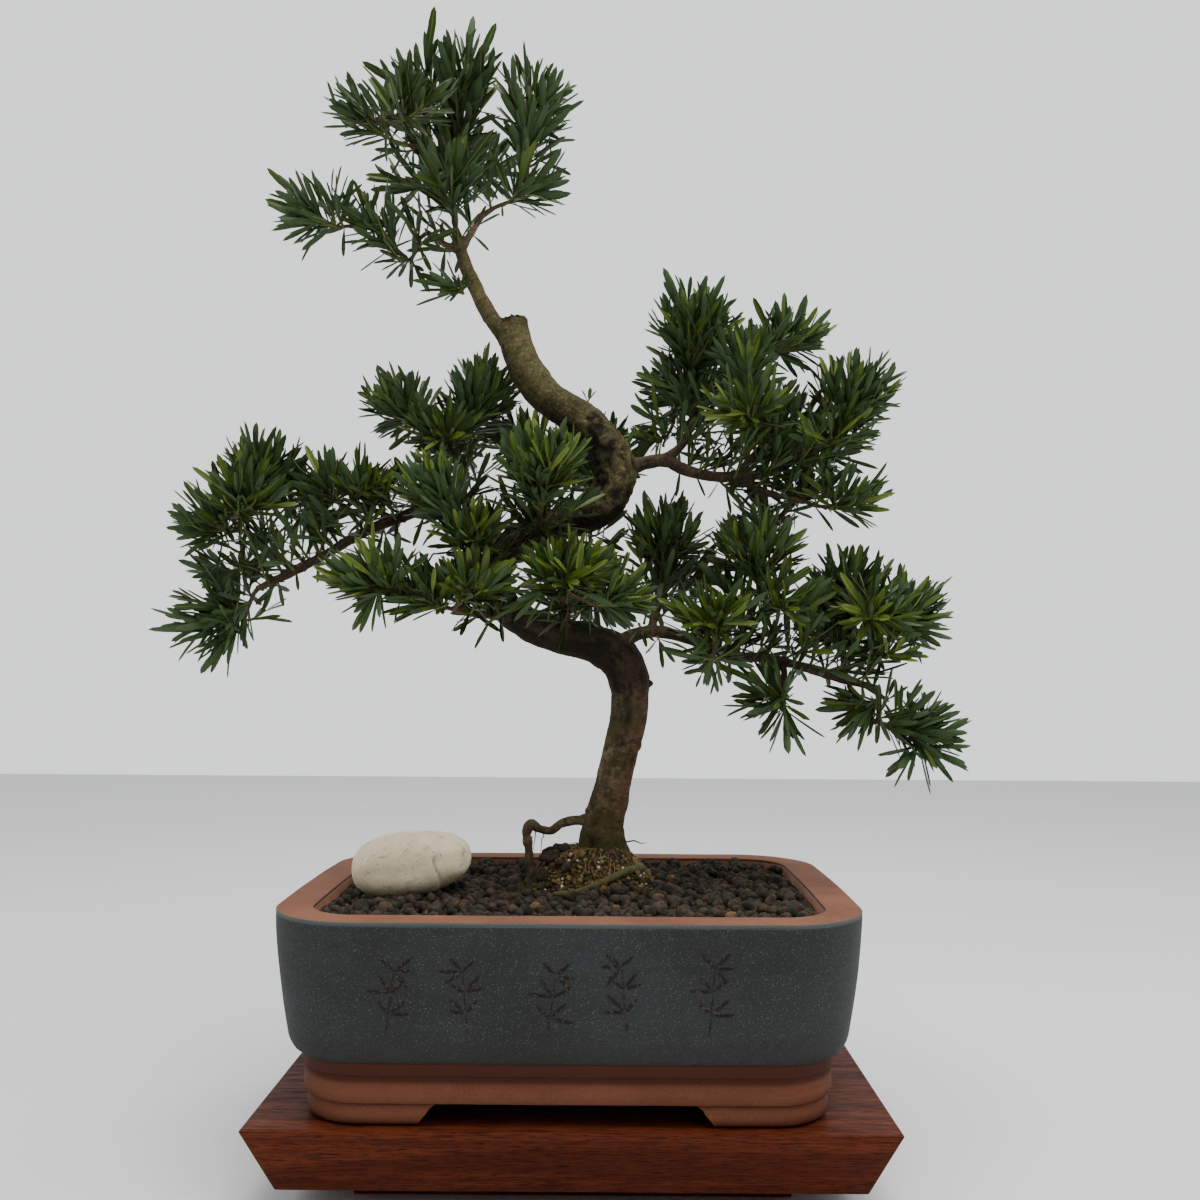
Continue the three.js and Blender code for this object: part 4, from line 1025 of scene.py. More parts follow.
def grid_places(rng, pitch, jitter):
    """Jittered points of a staggered grid over the soil."""
    xs = np.arange(-POT_HALF[0], POT_HALF[0], pitch)
    ys = np.arange(-POT_HALF[1], POT_HALF[1], pitch * 0.866)
    x, y = np.meshgrid(xs, ys)
    x = x + (np.arange(len(ys)) % 2)[:, None] * pitch / 2
    x = x.ravel() + rng.uniform(-jitter, jitter, x.size)
    y = y.ravel() + rng.uniform(-jitter, jitter, y.size)
    return x, y


# Grains of the soil: their distance, their least, usual and greatest radius, and for each layer
# its lift, the share of places that it fills and its distance times the usual one

GRAIN_PITCH = 8.3
GRAIN_RADIUS = (3.1, 4.3, 5.5)
GRAIN_LAYERS = ((0.0, 1.0, 1.0), (4.2, 0.45, 1.15))
GRAIN_SHARES = [0.5, 0.373, 0.121, 0.004, 0.002]


def mound_share(x, y):
    """0 on the level soil, 1 on the mound's gritty part."""
    return ease(SOIL_LEVEL + 2.5, SOIL_LEVEL + 10, soil_height(x, y))


def make_grains(paints):
    rng = np.random.default_rng(SEED + 1)
    places, sizes = [], []
    for lift, chance, wider in GRAIN_LAYERS:
        x, y = grid_places(rng, GRAIN_PITCH * wider, 1.6)
        keep = inside_pot(x, y, 1.8) & outside_stone(x, y, 1.5) & (rng.random(len(x)) < chance)
        keep &= mound_share(x, y) < rng.uniform(0.25, 0.9, len(x))
        x, y = x[keep], y[keep]
        radius = rng.triangular(*GRAIN_RADIUS, len(x))
        z = soil_height(x, y) + lift + rng.uniform(-0.8, 0.8, len(x)) - 0.2 * radius
        places.append(np.column_stack([x, y, z]))
        sizes.append(radius)
    places, sizes = np.concatenate(places), np.concatenate(sizes)
    scatter("soil_grains", places, sizes, rng, paints, GRAIN_SHARES, "soil")


def on_mound(rng, count, low=0.15, high=1.2):
    """Random places on the mound's slope, as points on its surface."""
    angle = rng.uniform(0, 2 * math.pi, count)
    share = rng.uniform(MOUND_FLAT * 0.5, high, count)
    x, y = (MOUND_CENTRE + circle(angle) * share[:, None] * MOUND_REACH).T
    keep = mound_share(x, y) > low
    return np.column_stack([x, y, soil_height(x, y)])[keep]


# Grit on the mound: how many places are tried, its least, usual and greatest radius, and the share
# of each finish

GRIT_PLACES = 2600
GRIT_RADIUS = (0.8, 1.3, 3.0)
GRIT_SHARES = [0.42, 0.42, 0.125, 0.035]


def make_mound_litter(paints, straw, moss):
    rng = np.random.default_rng(SEED + 2)
    places = on_mound(rng, GRIT_PLACES)
    sizes = rng.triangular(*GRIT_RADIUS, len(places))
    scatter("mound_grit", places, sizes, rng, paints, GRIT_SHARES, "soil", subdivisions=1, flat=0.6)
    make_pebbles(paints[0])
    make_straw(rng, straw)
    make_moss(rng, moss)


# Dark pebbles against the mound's left side: [x, y, radius]

PEBBLES = [[-51, 2, 7.6], [-44, -12, 5.6], [-32, -4, 5.2], [-27, -14, 5.0], [-20, -2, 5.4],
    [-14, -12, 4.6], [-36, 14, 6.0], [-24, 24, 5.2], [-8, -18, 4.2], [-26, 8, 5.8], [-16, 14, 5.0],
    [-10, 3, 4.6]]


def make_pebbles(material):
    rng = np.random.default_rng(SEED + 3)
    x, y, radius = np.array(PEBBLES).T
    places = np.column_stack([x, y, soil_height(x, y) + 0.35 * radius])
    scatter("mound_pebbles", places, radius, rng, [material], [1.0], "soil",
        subdivisions=3, lumps=0.4, flat=0.7)


# Straw on the mound: how many places are tried, the least and greatest length, and the radii

STRAW_PLACES = 170
STRAW_LENGTH = (4, 13)
STRAW_RADIUS = (0.2, 0.28, 0.12)


def make_straw(rng, material):
    parts = []
    for x, y, _ in on_mound(rng, STRAW_PLACES, low=0.3, high=1.0):
        heading = rng.uniform(0, math.pi)
        length = rng.uniform(*STRAW_LENGTH)
        across = np.array((math.cos(heading), math.sin(heading)))
        bend = rng.uniform(-2, 2) * np.array((-across[1], across[0]))
        line = [(x, y) + across * length * t + bend * 4 * t * (1 - t) for t in (-0.5, 0, 0.5)]
        heights = [soil_height(*point) + 1.2 + rng.uniform(0, 1.8) for point in line]
        parts.append(tube(np.column_stack([line, heights]), STRAW_RADIUS, 4))
    add_mesh("mound_straw", *joined(parts), [material], "soil")


# Moss: how many places are tried on the mound, how many blades stand round the trunk's foot and as
# many again in a patch to its left, how far from the foot they stand, the patch's middle, reach and
# height, and the blades' length

MOSS_PLACES = 9000
MOSS_BLADES = 1600
MOSS_COLLAR = (19, 29)
MOSS_PATCH = (-47, -14)
MOSS_PATCH_REACH = (24, 0.6 * 24)
MOSS_PATCH_RISE = 2.6
MOSS_LENGTH = (1.6, 3.4)
MOSS_FACES = np.array([[0, 1, 3], [1, 2, 3], [2, 0, 3], [0, 2, 1]])


def make_moss(rng, material):
    """Short blades in patches on the mound and round the trunk's foot."""
    places = on_mound(rng, MOSS_PLACES, low=0.05)
    wet = fractal(places, 13, 2, 44) - 0.008 * (places[:, 0] + 10)
    places = places[wet > 0.12]
    line = circle(rng.uniform(0, 2 * math.pi, 2 * MOSS_BLADES))
    reach = rng.uniform(*MOSS_COLLAR, (2 * MOSS_BLADES, 1)) * (1, 1)
    reach[MOSS_BLADES:] = np.sqrt(rng.random((MOSS_BLADES, 1))) * MOSS_PATCH_REACH
    line = line * reach + np.repeat([TRUNK[1][:2], MOSS_PATCH], MOSS_BLADES, axis=0)
    heights = soil_height(*line.T) + np.repeat([0, MOSS_PATCH_RISE], MOSS_BLADES)
    places = np.concatenate([places, at_height(line, heights)])
    count = len(places)
    lean = rng.normal(0, 0.5, (count, 3)) + (0, 0, 1)
    tips = places + unit(lean) * rng.uniform(*MOSS_LENGTH, count)[:, None]
    side = unit(np.cross(lean, rng.normal(size=(count, 3)))) * rng.uniform(0.3, 0.6, count)[:, None]
    third = unit(np.cross(lean, side)) * 0.35
    foot = places - (0, 0, 1.2)
    corners = np.stack([foot + side, foot - side, foot + third, tips], axis=1)
    groups = [repeated(MOSS_FACES, count, 4)]
    add_mesh("mound_moss", corners.reshape(-1, 3), groups, [material], "root_moss")


# Stone: into how many steps it is cut round and up, and where its crease runs

STONE_STEPS = (160, 90)
CREASE_X = -103


def peak(value):
    return np.exp(-value ** 2)


def make_stone(material):
    turns, levels = STONE_STEPS
    polars = math.pi * (1 - np.arange(1, levels) / levels)
    shape, groups = skin([
        at_height(circle(full_turn(turns)) * math.sin(polar), math.cos(polar)) for polar in polars])
    bulge = 0.98 / (abs(shape) ** 2.5).sum(1) ** (1 / 2.5)
    bulge += 0.035 * fractal(shape, 0.9, 2, 51) - 0.04 * ease(0.6, 1.0, shape[:, 2])
    shape[:, 2] *= 1 - STONE_TAPER * shape[:, 0]
    x, y, z = (shape * bulge[:, None] * STONE_HALF).T
    cos, sin = math.cos(STONE_TILT), math.sin(STONE_TILT)
    points = np.column_stack([x * cos - z * sin, y, x * sin + z * cos]) + STONE_CENTRE
    x, y, z = points.T
    past = x - (CREASE_X + 2.2 * np.sin((z - 196) * 0.2))
    front = ease(-15, -39, y) * ease(226, 218, z)
    step = ease(-1.5, 1.5, past) * ease(16, 4, past)
    crease = peak(past / 1.3) * front * ease(198, 206, z)
    row = peak((z - 221 - 0.05 * (x + 140)) / 1.1)
    pits = row * front * ease(0.25, 0.5, noise(points, (3.2, 3.2, 9), 61)) * ease(-156, -146, x)
    pits *= ease(-108, -116, x)
    sink = 1.7 * step * front + 0.7 * crease + 0.6 * pits + 0.12 * noise(points, 2.5, 62)
    points = points - unit((points - STONE_CENTRE) / STONE_HALF) * sink[:, None]
    piece = add_mesh("pebble", points, groups, [material], "stone")
    add_values(piece, "crease", np.clip(0.8 * crease + 0.7 * pits, 0, 1))
    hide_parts("accent_stone")


# Limbs

def limb_curve(stations, shares):
    """Points of the centripetal Catmull-Rom curve through the stations, radius included."""
    stations = np.asarray(stations, float)
    ends = stations[:, :3]
    padded = np.concatenate([[2 * ends[0] - ends[1]], ends, [2 * ends[-1] - ends[-2]]])
    place = np.clip(shares, 0, 1) * (len(stations) - 1)
    low = np.minimum(place.astype(int), len(stations) - 2)
    part = (place - low)[:, None]
    p0, p1, p2, p3 = (padded[low + k] for k in range(4))
    d0, d1, d2 = (
        np.linalg.norm(b - a, axis=1, keepdims=True) ** 0.5 for a, b in ((p0, p1), (p1, p2), (p2, p3)))
    t1 = ((p1 - p0) / d0 - (p2 - p0) / (d0 + d1) + (p2 - p1) / d1) * d1
    t2 = ((p2 - p1) / d1 - (p3 - p1) / (d1 + d2) + (p3 - p2) / d2) * d1
    c2 = -3 * p1 + 3 * p2 - 2 * t1 - t2
    c3 = 2 * p1 - 2 * p2 + t1 + t2
    points = p1 + t1 * part + c2 * part ** 2 + c3 * part ** 3
    radii = mix(stations[low, 3], stations[low + 1, 3], part[:, 0])
    return points, radii


def limb_stations(name):
    """A limb's stations. A bough is 15 % thicker where it starts."""
    if name == "trunk":
        return TRUNK
    _, root, tip, route = BOUGHS[name]
    radii = np.linspace(root, tip, len(route)) * [1.15, *[1] * (len(route) - 1)]
    return [[*point, radius] for point, radius in zip(route, radii)]


# The limbs by number: the leader, the first bough below the crown and the last one with moss. Then
# how far apart the limbs' samples are, and how many points are matched at a time

LIMB_NAMES = ["trunk", *BOUGHS]
LEADER = LIMB_NAMES.index("leader")
FIRST_BOUGH = LIMB_NAMES.index("bough_left")
LAST_MOSSY = LIMB_NAMES.index("bough_right_low")
LIMB_SAMPLE = 1.6
MATCHED_AT_ONCE = 4000


def limb_length(name):
    return np.linalg.norm(np.diff(np.array(limb_stations(name))[:, :3], axis=0), axis=1).sum()


def limb_line(name, step):
    """Points and radii along a limb, about a step apart."""
    return limb_curve(limb_stations(name), np.linspace(0, 1, int(limb_length(name) / step) + 2))


def run_along(route):
    """The distance from a route's start to each of its points."""
    return np.concatenate([[0], np.cumsum(np.linalg.norm(np.diff(route, axis=0), axis=1))])


def sample_limbs():
    """Samples along every limb: place, two cross directions, run, radius and the limb's number."""
    samples = {"place": [], "across": [], "third": [], "run": [], "radius": [], "limb": []}
    for number, name in enumerate(LIMB_NAMES):
        points, radii = limb_line(name, LIMB_SAMPLE)
        _, across, third = zip(*transported(points))
        rows = (points, across, third, run_along(points), radii, [number] * len(points))
        for values, row in zip(samples.values(), rows):
            values.extend(row)
    return {key: np.array(values) for key, values in samples.items()}


def nearest_limb(samples, points):
    """For each point, the sample whose bark is nearest and the distance to that bark."""
    best, gap = [], []
    for start in range(0, len(points), MATCHED_AT_ONCE):
        chunk = points[start:start + MATCHED_AT_ONCE]
        apart = np.linalg.norm(chunk[:, None, :] - samples["place"][None], axis=2) - samples["radius"]
        best.append(apart.argmin(axis=1))
        gap.append(apart.min(axis=1))
    return np.concatenate(best), np.concatenate(gap)


# Bark: the step and the sides of the tubes under it, and the grid that joins them

BARK_STEP = 3
TRUNK_SIDES = 28
BOUGH_SIDES = 14
BARK_VOXEL = 1.15

# Pegs: the gap between the stubs of old shoots and their radii at root and tip, then how many
# splinters stand on the cut stub's rim, how far from its middle, and their radii

PEG_GAP = 13
PEG_RADIUS = (1.7, 1.1)
SPLINTERS = 26
SPLINTER_REACH = 9.5
SPLINTER_RADIUS = (1.9, 0.9)

# The middle of the trunk's tight bend, whose inner side is burled, and the heights between which
# the trunk's flared foot ends, its upper part begins, and its cut stub begins

BEND_CENTRE = (-12, 2, 520)
FLARE_END = (240, 214)
UPPER_START = (545, 585)
STUB_START = (637, 643)

# Knots and scars on the trunk: [x, y, z, radius, height]

KNOTS = [[33, 3, 312, 3.6, 1.5], [48, 14, 300, 4, 1.6], [57, 14, 350, 3, 3.2], [24, 8, 324, 3.5, 1.7],
    [14, 6, 232, 6, 1.6], [7, 14, 250, 4, 1.8], [14, -13, 527, 7, 2.2], [16, -14, 508, 7, -2.2],
    [8, -12, 538, 6, -2.6], [4, -12, 552, 5, 2.4], [30, -14, 520, 6, 1.6], [-6, -10, 490, 6, -1.8],
    [-44, -6, 611, 6, 1.2], [36, 12, 497, 5, 2.2], [44, 2, 540, 4, 2.4], [24, 6, 562, 4, 2.2],
    [26, -14, 498, 5, -1.8], [-62, 0, 625, 5, 1.6], [20, -16, 540, 5, 1.8], [44, -8, 512, 5, 1.4]]

# Patches of painted shade with rough edges round that bend, on its inside and underside: [x, y, z,
# radius]

BEND_SHADE_PATCHES = [[13, -12, 549, 10], [19, -14, 534, 9], [9, -10, 562, 7], [2, -14, 478, 10], [17, -12, 474, 13],
    [34, -8, 484, 9], [-14, -12, 486, 8]]


def pegs(rng):
    """Short stubs of old shoots along the boughs, and splinters round the cut stub's rim."""
    parts = []
    for name in BOUGHS:
        shares = np.sort(rng.uniform(0.12, 0.95, int(limb_length(name) / PEG_GAP)))
        for point, radius in zip(*limb_curve(limb_stations(name), shares)):
            heading = unit(rng.normal(size=3) + (0, 0, 0.3))
            reach = radius + rng.uniform(1.0, 3.2)
            parts.append(tube([point, point + heading * reach], PEG_RADIUS, 6))
    top = np.array(TRUNK[-1][:3], float)
    for angle in rng.uniform(0, 2 * math.pi, SPLINTERS):
        rim = top + (*circle(angle) * SPLINTER_REACH, -2.5)
        parts.append(tube([rim, rim + (0, 0, rng.uniform(2.2, 4.6))], SPLINTER_RADIUS, 6))
    return parts


def make_bark(material, samples):
    parts = [tube(*limb_line("trunk", BARK_STEP), TRUNK_SIDES)]
    parts += [tube(*limb_line(name, BARK_STEP), BOUGH_SIDES) for name in BOUGHS]
    parts += pegs(np.random.default_rng(SEED + 4))
    rough = add_mesh("bark_parts", *joined(parts), [material], "bark")
    remesh = rough.modifiers.new("remesh", "REMESH")
    remesh.mode = "VOXEL"
    remesh.voxel_size = BARK_VOXEL * MM
    soften = rough.modifiers.new("soften", "SMOOTH")
    soften.iterations = 5
    soften.factor = 0.5
    bark = evaluated_copy(rough, "bark_skin")
    bpy.data.objects.remove(rough)
    bark.data.materials.clear()
    bark.data.materials.append(material)
    carve_bark(bark, samples)
    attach(bark, "root")
    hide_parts(*LIMB_NAMES)


def in_radii(points, x, y, z, radius):
    """How far points are from the middle of a knot or of a patch of painted shade, in its radii."""
    return np.linalg.norm(points - (x, y, z), axis=1) / radius


def carve_bark(bark, samples):
    """Relief along the limbs, knots, burls inside the bend, the ragged stub, and the paint's masks,
    painted shade among them.
    """
    mesh = bark.data
    points = read_vectors(mesh.vertices, "co") / MM
    normals = read_vectors(mesh.vertex_normals, "vector")
    best, _ = nearest_limb(samples, points)
    near = {key: values[best] for key, values in samples.items()}
    offset = points - near["place"]
    radius, limb = near["radius"], near["limb"]
    local = np.column_stack([
        near["run"] + 400 * limb, (offset * near["across"]).sum(1), (offset * near["third"]).sum(1)])
    trunk = limb == 0
    x, y, height = points.T
    thick = ease(3, 12, radius)
    bend = ease(455, 474, height) * ease(578, 556, height) * ease(-45, -20, x) * trunk
    inner = (offset * unit(BEND_CENTRE - near["place"])).sum(1) / radius
    hollow = bend * ease(0.15, 0.75, inner)
    upper = ease(*UPPER_START, height) * trunk
    cracks = abs(fractal(points, 8.5, 2, 78))
    plates = abs(fractal(local, (9, 6, 6), 2, 79))
    relief = fractal(points, 17, 2, 71) * mix(0.45, 0.9, thick)
    relief += fractal(local, (5.5, 3.2, 3.2), 2, 73) * 0.42
    furrows = 0.6 - 2 * abs(fractal(local, (34, 5.5, 5.5), 2, 72))
    relief += furrows * mix(0.15, 0.5, thick) * (1 - 0.7 * upper)
    relief += bend * (0.9 * fractal(points, 3.8, 3, 75) - 0.9 * ease(0.1, 0.0, plates))
    relief += hollow * (1.5 * fractal(points, 4.6, 3, 80) - 2.0 * ease(0.12, 0.0, cracks))
    flare = ease(*FLARE_END, height) * trunk
    heading = np.arctan2(y - TRUNK[1][1], x - TRUNK[1][0])
    relief += flare * (1.3 * np.cos(heading * 5 + 0.7) + 0.8 * np.cos(heading * 3 + 2.0))
    for *knot, rise in KNOTS:
        apart = in_radii(points, *knot)
        relief += rise * (peak(apart) - 0.35 * peak((apart - 1.2) / 0.3))
    cut = peak(abs(height - 302 - 0.25 * (x - 34) - 1.2 * noise(points, 6, 84)) / 1.1)
    relief -= 0.9 * cut * ease(10, 4, y) * trunk
    stub = ease(*STUB_START, height) * trunk
    relief = relief * (1 - 0.4 * stub) + stub * (1.5 * fractal(points, 4, 2, 76) - 1.0)
    points = points + normals * relief[:, None]
    points[:, 2] = np.maximum(points[:, 2], TRUNK_FOOT)
    write_points(mesh, points)
    mesh.shade_smooth()
    mesh.update()
    # Painted shade in the relief's valleys, on the trunk's undersides, inside the tight bend and in its
    # cracks
    shade = ease(0.1, -1.5, relief) * 0.7
    shade += mix(0.35, 0.62, upper) * ease(0.1, -0.8, normals[:, 2]) * trunk
    shade += hollow * (0.55 + 0.4 * ease(0.14, 0.02, cracks)) + 0.15 * bend * ease(0.08, 0.0, plates)
    # Painted shade in rough-edged patches round the bend
    for shade_patch in BEND_SHADE_PATCHES:
        shade += ease(1.1, 0.5, in_radii(points, *shade_patch) + 0.5 * fractal(points, 4, 3, 86)) * 0.85
    shade += stub * ease(0.0, 0.7, normals[:, 2]) * 0.45
    # Painted shadow of the foliage on the trunk, from about 328 to 452 mm
    shade += 0.75 * ease(328, 356, height) * ease(452, 424, height) * trunk
    # The boughs' bark is darker, and darker still on their undersides as painted shade
    side = (limb >= FIRST_BOUGH) * mix(0.6, 0.3, ease(-0.2, 0.8, normals[:, 2]))
    # One mask holds all this painted shade, with the stub's dark cut and the boughs' darker bark
    add_values(bark, "bark_dark_and_painted_shade", np.clip(np.maximum(shade, side + 0.5 * shade), 0, 0.94))
    add_values(bark, "moss", bark_moss(points, normals, limb))
    add_values(bark, "tone", np.maximum(ease(400, 520, height) * trunk, 0.8 * (limb == LEADER)))
    add_values(bark, "red", ease(-0.2, 0.8, normals[:, 0]) * ease(390, 350, height) * trunk)
    add_values(bark, "limb", local * MM)


def bark_moss(points, normals, limb):
    """Green at the foot, algae patches up the left of the lower trunk, and thin moss on top sides."""
    rough = fractal(points, 15, 3, 81) + 0.7 * fractal(points, 3.5, 3, 87)
    patches = ease(-0.1, 0.4, rough - 0.35 * normals[:, 0])
    foot = ease(238, 226, points[:, 2] + 5 * fractal(points, 9, 2, 82))
    lower = patches * ease(375, 320, points[:, 2]) * 0.8
    top = ease(0.1, 0.9, normals[:, 2]) * ease(-0.1, 0.4, fractal(points, 14, 2, 83)) * 0.6
    leader = (limb == LEADER) * 0.5 * ease(-0.3, 0.3, fractal(points, 12, 2, 85))
    return np.clip(np.maximum.reduce([foot * 0.95, lower, top, leader]), 0, 1) * (limb <= LAST_MOSSY)


# Roots

def make_roots(material, mossy):
    points, radii = limb_curve(ARCHED_ROOT, np.linspace(0, 1, 120))
    radii = radii * (1 + 0.2 * fractal(points, 5, 2, 91))
    parts = [tube(drift(points, 0.7, 7, 92), radii, 16)]
    rng = np.random.default_rng(SEED + 5)
    for base in ROOT_HAIRS:
        line = [base]
        for _ in range(6):
            step = (rng.normal(0, 1.0), rng.normal(0, 0.7), -rng.uniform(2.2, 3.6))
            line.append(line[-1] + np.array(step))
        parts.append(tube(line, np.linspace(0.5, 0.16, 7), 4))
    parts.append(tube(ROOT_SPUR, (0.7, 0.6, 0.45, 0.2), 5))
    points, groups = joined(parts)
    piece = add_mesh("root_arch", points, groups, [material], "bark")
    add_values(piece, "bark_dark_and_painted_shade", np.clip(0.16 + 0.35 * fractal(points, 5, 2, 96), 0, 0.9))
    add_values(piece, "moss", np.clip(0.5 * ease(-0.3, 0.5, fractal(points, 8, 2, 97)), 0, 1))
    add_values(piece, "tone", np.full(len(points), 0.2))
    add_values(piece, "red", np.zeros(len(points)))
    add_values(piece, "limb", points * MM)
    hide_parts("arched_root")
    make_surface_root(mossy)


def make_surface_root(material):
    route = np.array(SURFACE_ROOT_ROUTE, float)
    ground = np.maximum(soil_height(*route.T), SOIL_LEVEL + 3.5) + ROOT_RISE
    stations = np.column_stack([route, ground, np.linspace(*SURFACE_ROOT_RADIUS, len(route))])
    points, radii = limb_curve(stations, np.linspace(0, 1, 90))
    radii = radii * (1 + 0.18 * fractal(points, 6, 2, 95))
    piece = add_mesh("root_lying", *tube(points, radii, 16), [material], "root_moss")
    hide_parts("surface_root")


# Foliage

class Foliage:
    """Twigs and green shoots, each a route and its radii, and leaves of one group of masses."""

    def __init__(self):
        self.twigs, self.shoots, self.leaves = [], [], []

    def twig(self, route, radii=TWIG_RADIUS):
        self.twigs.append((route, np.linspace(*radii, len(route))))

    def shoot(self, route, radii=SHOOT_RADIUS):
        self.shoots.append((route, np.linspace(*radii, len(route))))

    def leaf(self, root, direction, face, length, tone, bend):
        self.leaves.append([*root, *direction, *face, length, tone, bend])


def leaning(axis, polar, azimuth):
    """A direction that leans by polar from the axis and is turned about it by azimuth."""
    helper = np.array((1.0, 0, 0)) if abs(axis[2]) > 0.9 else UP
    side = unit(np.cross(helper, axis))
    around = side * math.cos(azimuth) + np.cross(axis, side) * math.sin(azimuth)
    return axis * math.cos(polar) + math.sin(polar) * around


def run_to_surface(lobe, point, direction):
    """How far it is from a point to the lobe's surface along a direction."""
    start = (point - lobe["centre"]) / lobe["half"]
    step = direction / lobe["half"]
    a, b, c = step.dot(step), start.dot(step), start.dot(start) - 1
    root = b * b - a * c
    return (-b + math.sqrt(root)) / a if root > 0 else 0.0


def bowed(start, end, sag, steps):
    """A gently bowed line between two points."""
    shares = np.linspace(0, 1, steps)[:, None]
    return mix(np.asarray(start), np.asarray(end), shares) + 4 * shares * (1 - shares) * np.asarray(sag)


def flowing(start, leaving, end, arriving):
    """A smooth line from start to end that leaves and arrives in the given directions."""
    t = np.linspace(0, 1, FLOW_STEPS)[:, None]
    pull = 0.9 * np.linalg.norm(end - start)
    line = (2 * t ** 3 - 3 * t ** 2 + 1) * start + (3 * t ** 2 - 2 * t ** 3) * end
    return line + pull * ((t ** 3 - 2 * t ** 2 + t) * leaving + (t ** 3 - t ** 2) * arriving)


def grow_mass(foliage, name):
    """Stem, a twig to each lobe from the nearest hub, then leafy shoots on twigs and lobes."""
    parent, youth, lobes = MASSES[name]
    lift = LESS_UPRIGHT.get(name, UPRIGHT)
    rng = np.random.default_rng(SEED + 10 + list(MASSES).index(name))
    ends, radii = limb_curve(limb_stations(parent), np.array([0.98, 1.0]))
    start, heading, radius = ends[1], unit(ends[1] - ends[0]), radii[1]
    if name == "leader_sprig":
        heading = unit(np.array(lobes[0][:3]) - SPRIG_ROOT)
        start = SPRIG_ROOT + heading * 4
        radius = 1.6
    fork = start + heading * STEM_RUN
    foliage.twig(np.linspace(start - heading * 3, fork + heading, 4), (radius, STEM_RADIUS))
    hubs = [(fork, heading)]
    for place in lobes:
        centre, half = np.array(place, float).reshape(2, 3)
        girth = half.mean()
        near, near_axis = min(hubs, key=lambda hub: np.linalg.norm(hub[0] - centre))
        outward = unit(centre - near)
        axis = unit(outward * LOBE_HEADING[0] + UP * LOBE_HEADING[1])
        hub = centre - axis * HUB_DEPTH * girth
        twig = flowing(near, unit(near_axis + outward), hub, axis)
        twig[1:-1] += rng.normal(0, 0.5, (len(twig) - 2, 3))
        foliage.twig(twig)
        hubs.append((hub, axis))
        leaf = LEAF_LENGTH * LEAF_SIZE.get(name, USUAL_LEAF_SIZE) * min(1, girth / FULL_LEAF_GIRTH)
        lobe = {
            "centre": centre, "half": half, "girth": girth, "outward": outward, "leaf": leaf,
            "loose": LOOSE.get(name, 1.0), "fullness": FULLNESS.get(name, 1.0),
            "tone": TONE.get(name, USUAL_TONE)}
        grow_lobe(foliage, lobe, twig, youth, lift, rng)
        if girth > BARE_TWIG_GIRTH:
            grow_along(foliage, twig, (0.15, 0.95), (9, 24), SHOOT_GAP, youth, rng)
    for tip in TIPS.get(name, []):
        grow_tip(foliage, np.array(tip, float), [hub for hub, _ in hubs[1:]], youth, rng)


def grow_lobe(foliage, lobe, twig, youth, lift, rng):
    """Shoots that fan out of the lobe's twig and end a leaf's length inside the lobe's surface."""
    count = max(4, round(SHOOTS_PER_LOBE * lobe["fullness"] * lobe["girth"] / LOBE_GIRTH))
    axis = unit(mix(lobe["outward"], UP, lift))
    turn = rng.uniform(0, 2 * math.pi)
    for k in range(count):
        share = math.sqrt((k + 0.3) / count)
        polar = mix(*SHOOT_LEAN, lift) * share + rng.normal(0, 0.08)
        direction = leaning(axis, polar, turn + k * GOLDEN_TURN)
        sideways = unit(direction - axis * direction.dot(axis))
        origin = lobe["centre"] - axis * SHOOT_DEPTH * lobe["girth"]
        origin = origin + sideways * lobe["half"] * SHOOT_OFFSET * share * mix(0.4, 1.0, lift)
        vigour = rng.uniform(0.78, 1.12)
        room = run_to_surface(lobe, origin, direction) - LEAF_INSIDE * lobe["leaf"] * vigour
        tip = origin + direction * max(room - rng.uniform(0, SHOOT_SHORTFALL), 2)
        wanted = tip - direction * LEAF_ZONE * lobe["loose"]
        base = min(twig[2:], key=lambda point: np.linalg.norm(point - wanted))
        if np.linalg.norm(tip - base) < 6:
            base = tip - direction * 8
        leaving = unit(unit(tip - base) + 0.6 * lobe["outward"])
        shade = rng.normal(0, 0.6) + (1.6 if rng.random() < youth else 0.0)
        route = flowing(base, leaving, tip, direction)
        grow_shoot(foliage, lobe, route, vigour, lobe["tone"] + shade, rng)


def at_run(route, runs, place):
    return np.array([np.interp(place, runs, route[:, axis]) for axis in range(3)])


def grow_along(foliage, route, part, lengths, gap, youth, rng):
    """Upright shoots with older leaves along part of a twig or bough."""
    runs = run_along(route)
    turn = rng.uniform(0, 2 * math.pi)
    first, last = part[0] * runs[-1], part[1] * runs[-1]
    for k in range(int((last - first) / gap)):
        place = first + (k + rng.uniform(0.2, 0.8)) * gap
        base = at_run(route, runs, place)
        ahead = unit(at_run(route, runs, place + 2) - at_run(route, runs, place - 2))
        lean = leaning(ahead, rng.uniform(0.7, 1.4), turn + k * GOLDEN_TURN)
        direction = unit(lean + UP * rng.uniform(0.9, 1.6))
        tip = base + unit(direction + 0.3 * lean) * rng.uniform(*lengths)
        shade = 1.0 + rng.normal(0, 0.4) + (1.2 if rng.random() < youth * 0.6 else 0)
        line = flowing(base, lean, tip, direction)
        grow_shoot(foliage, None, line, rng.uniform(0.72, 0.98), shade, rng)


def grow_on_boughs(foliage, names):
    """The shoots that stand on the boughs themselves."""
    for name, (start, end, lengths, gap) in BOUGH_SHOOTS.items():
        if name in names:
            rng = np.random.default_rng(SEED + 60 + LIMB_NAMES.index(name))
            route, _ = limb_curve(limb_stations(name), np.linspace(0, 1, 40))
            grow_along(foliage, route, (start, end), lengths, gap, BOUGH_YOUTH, rng)


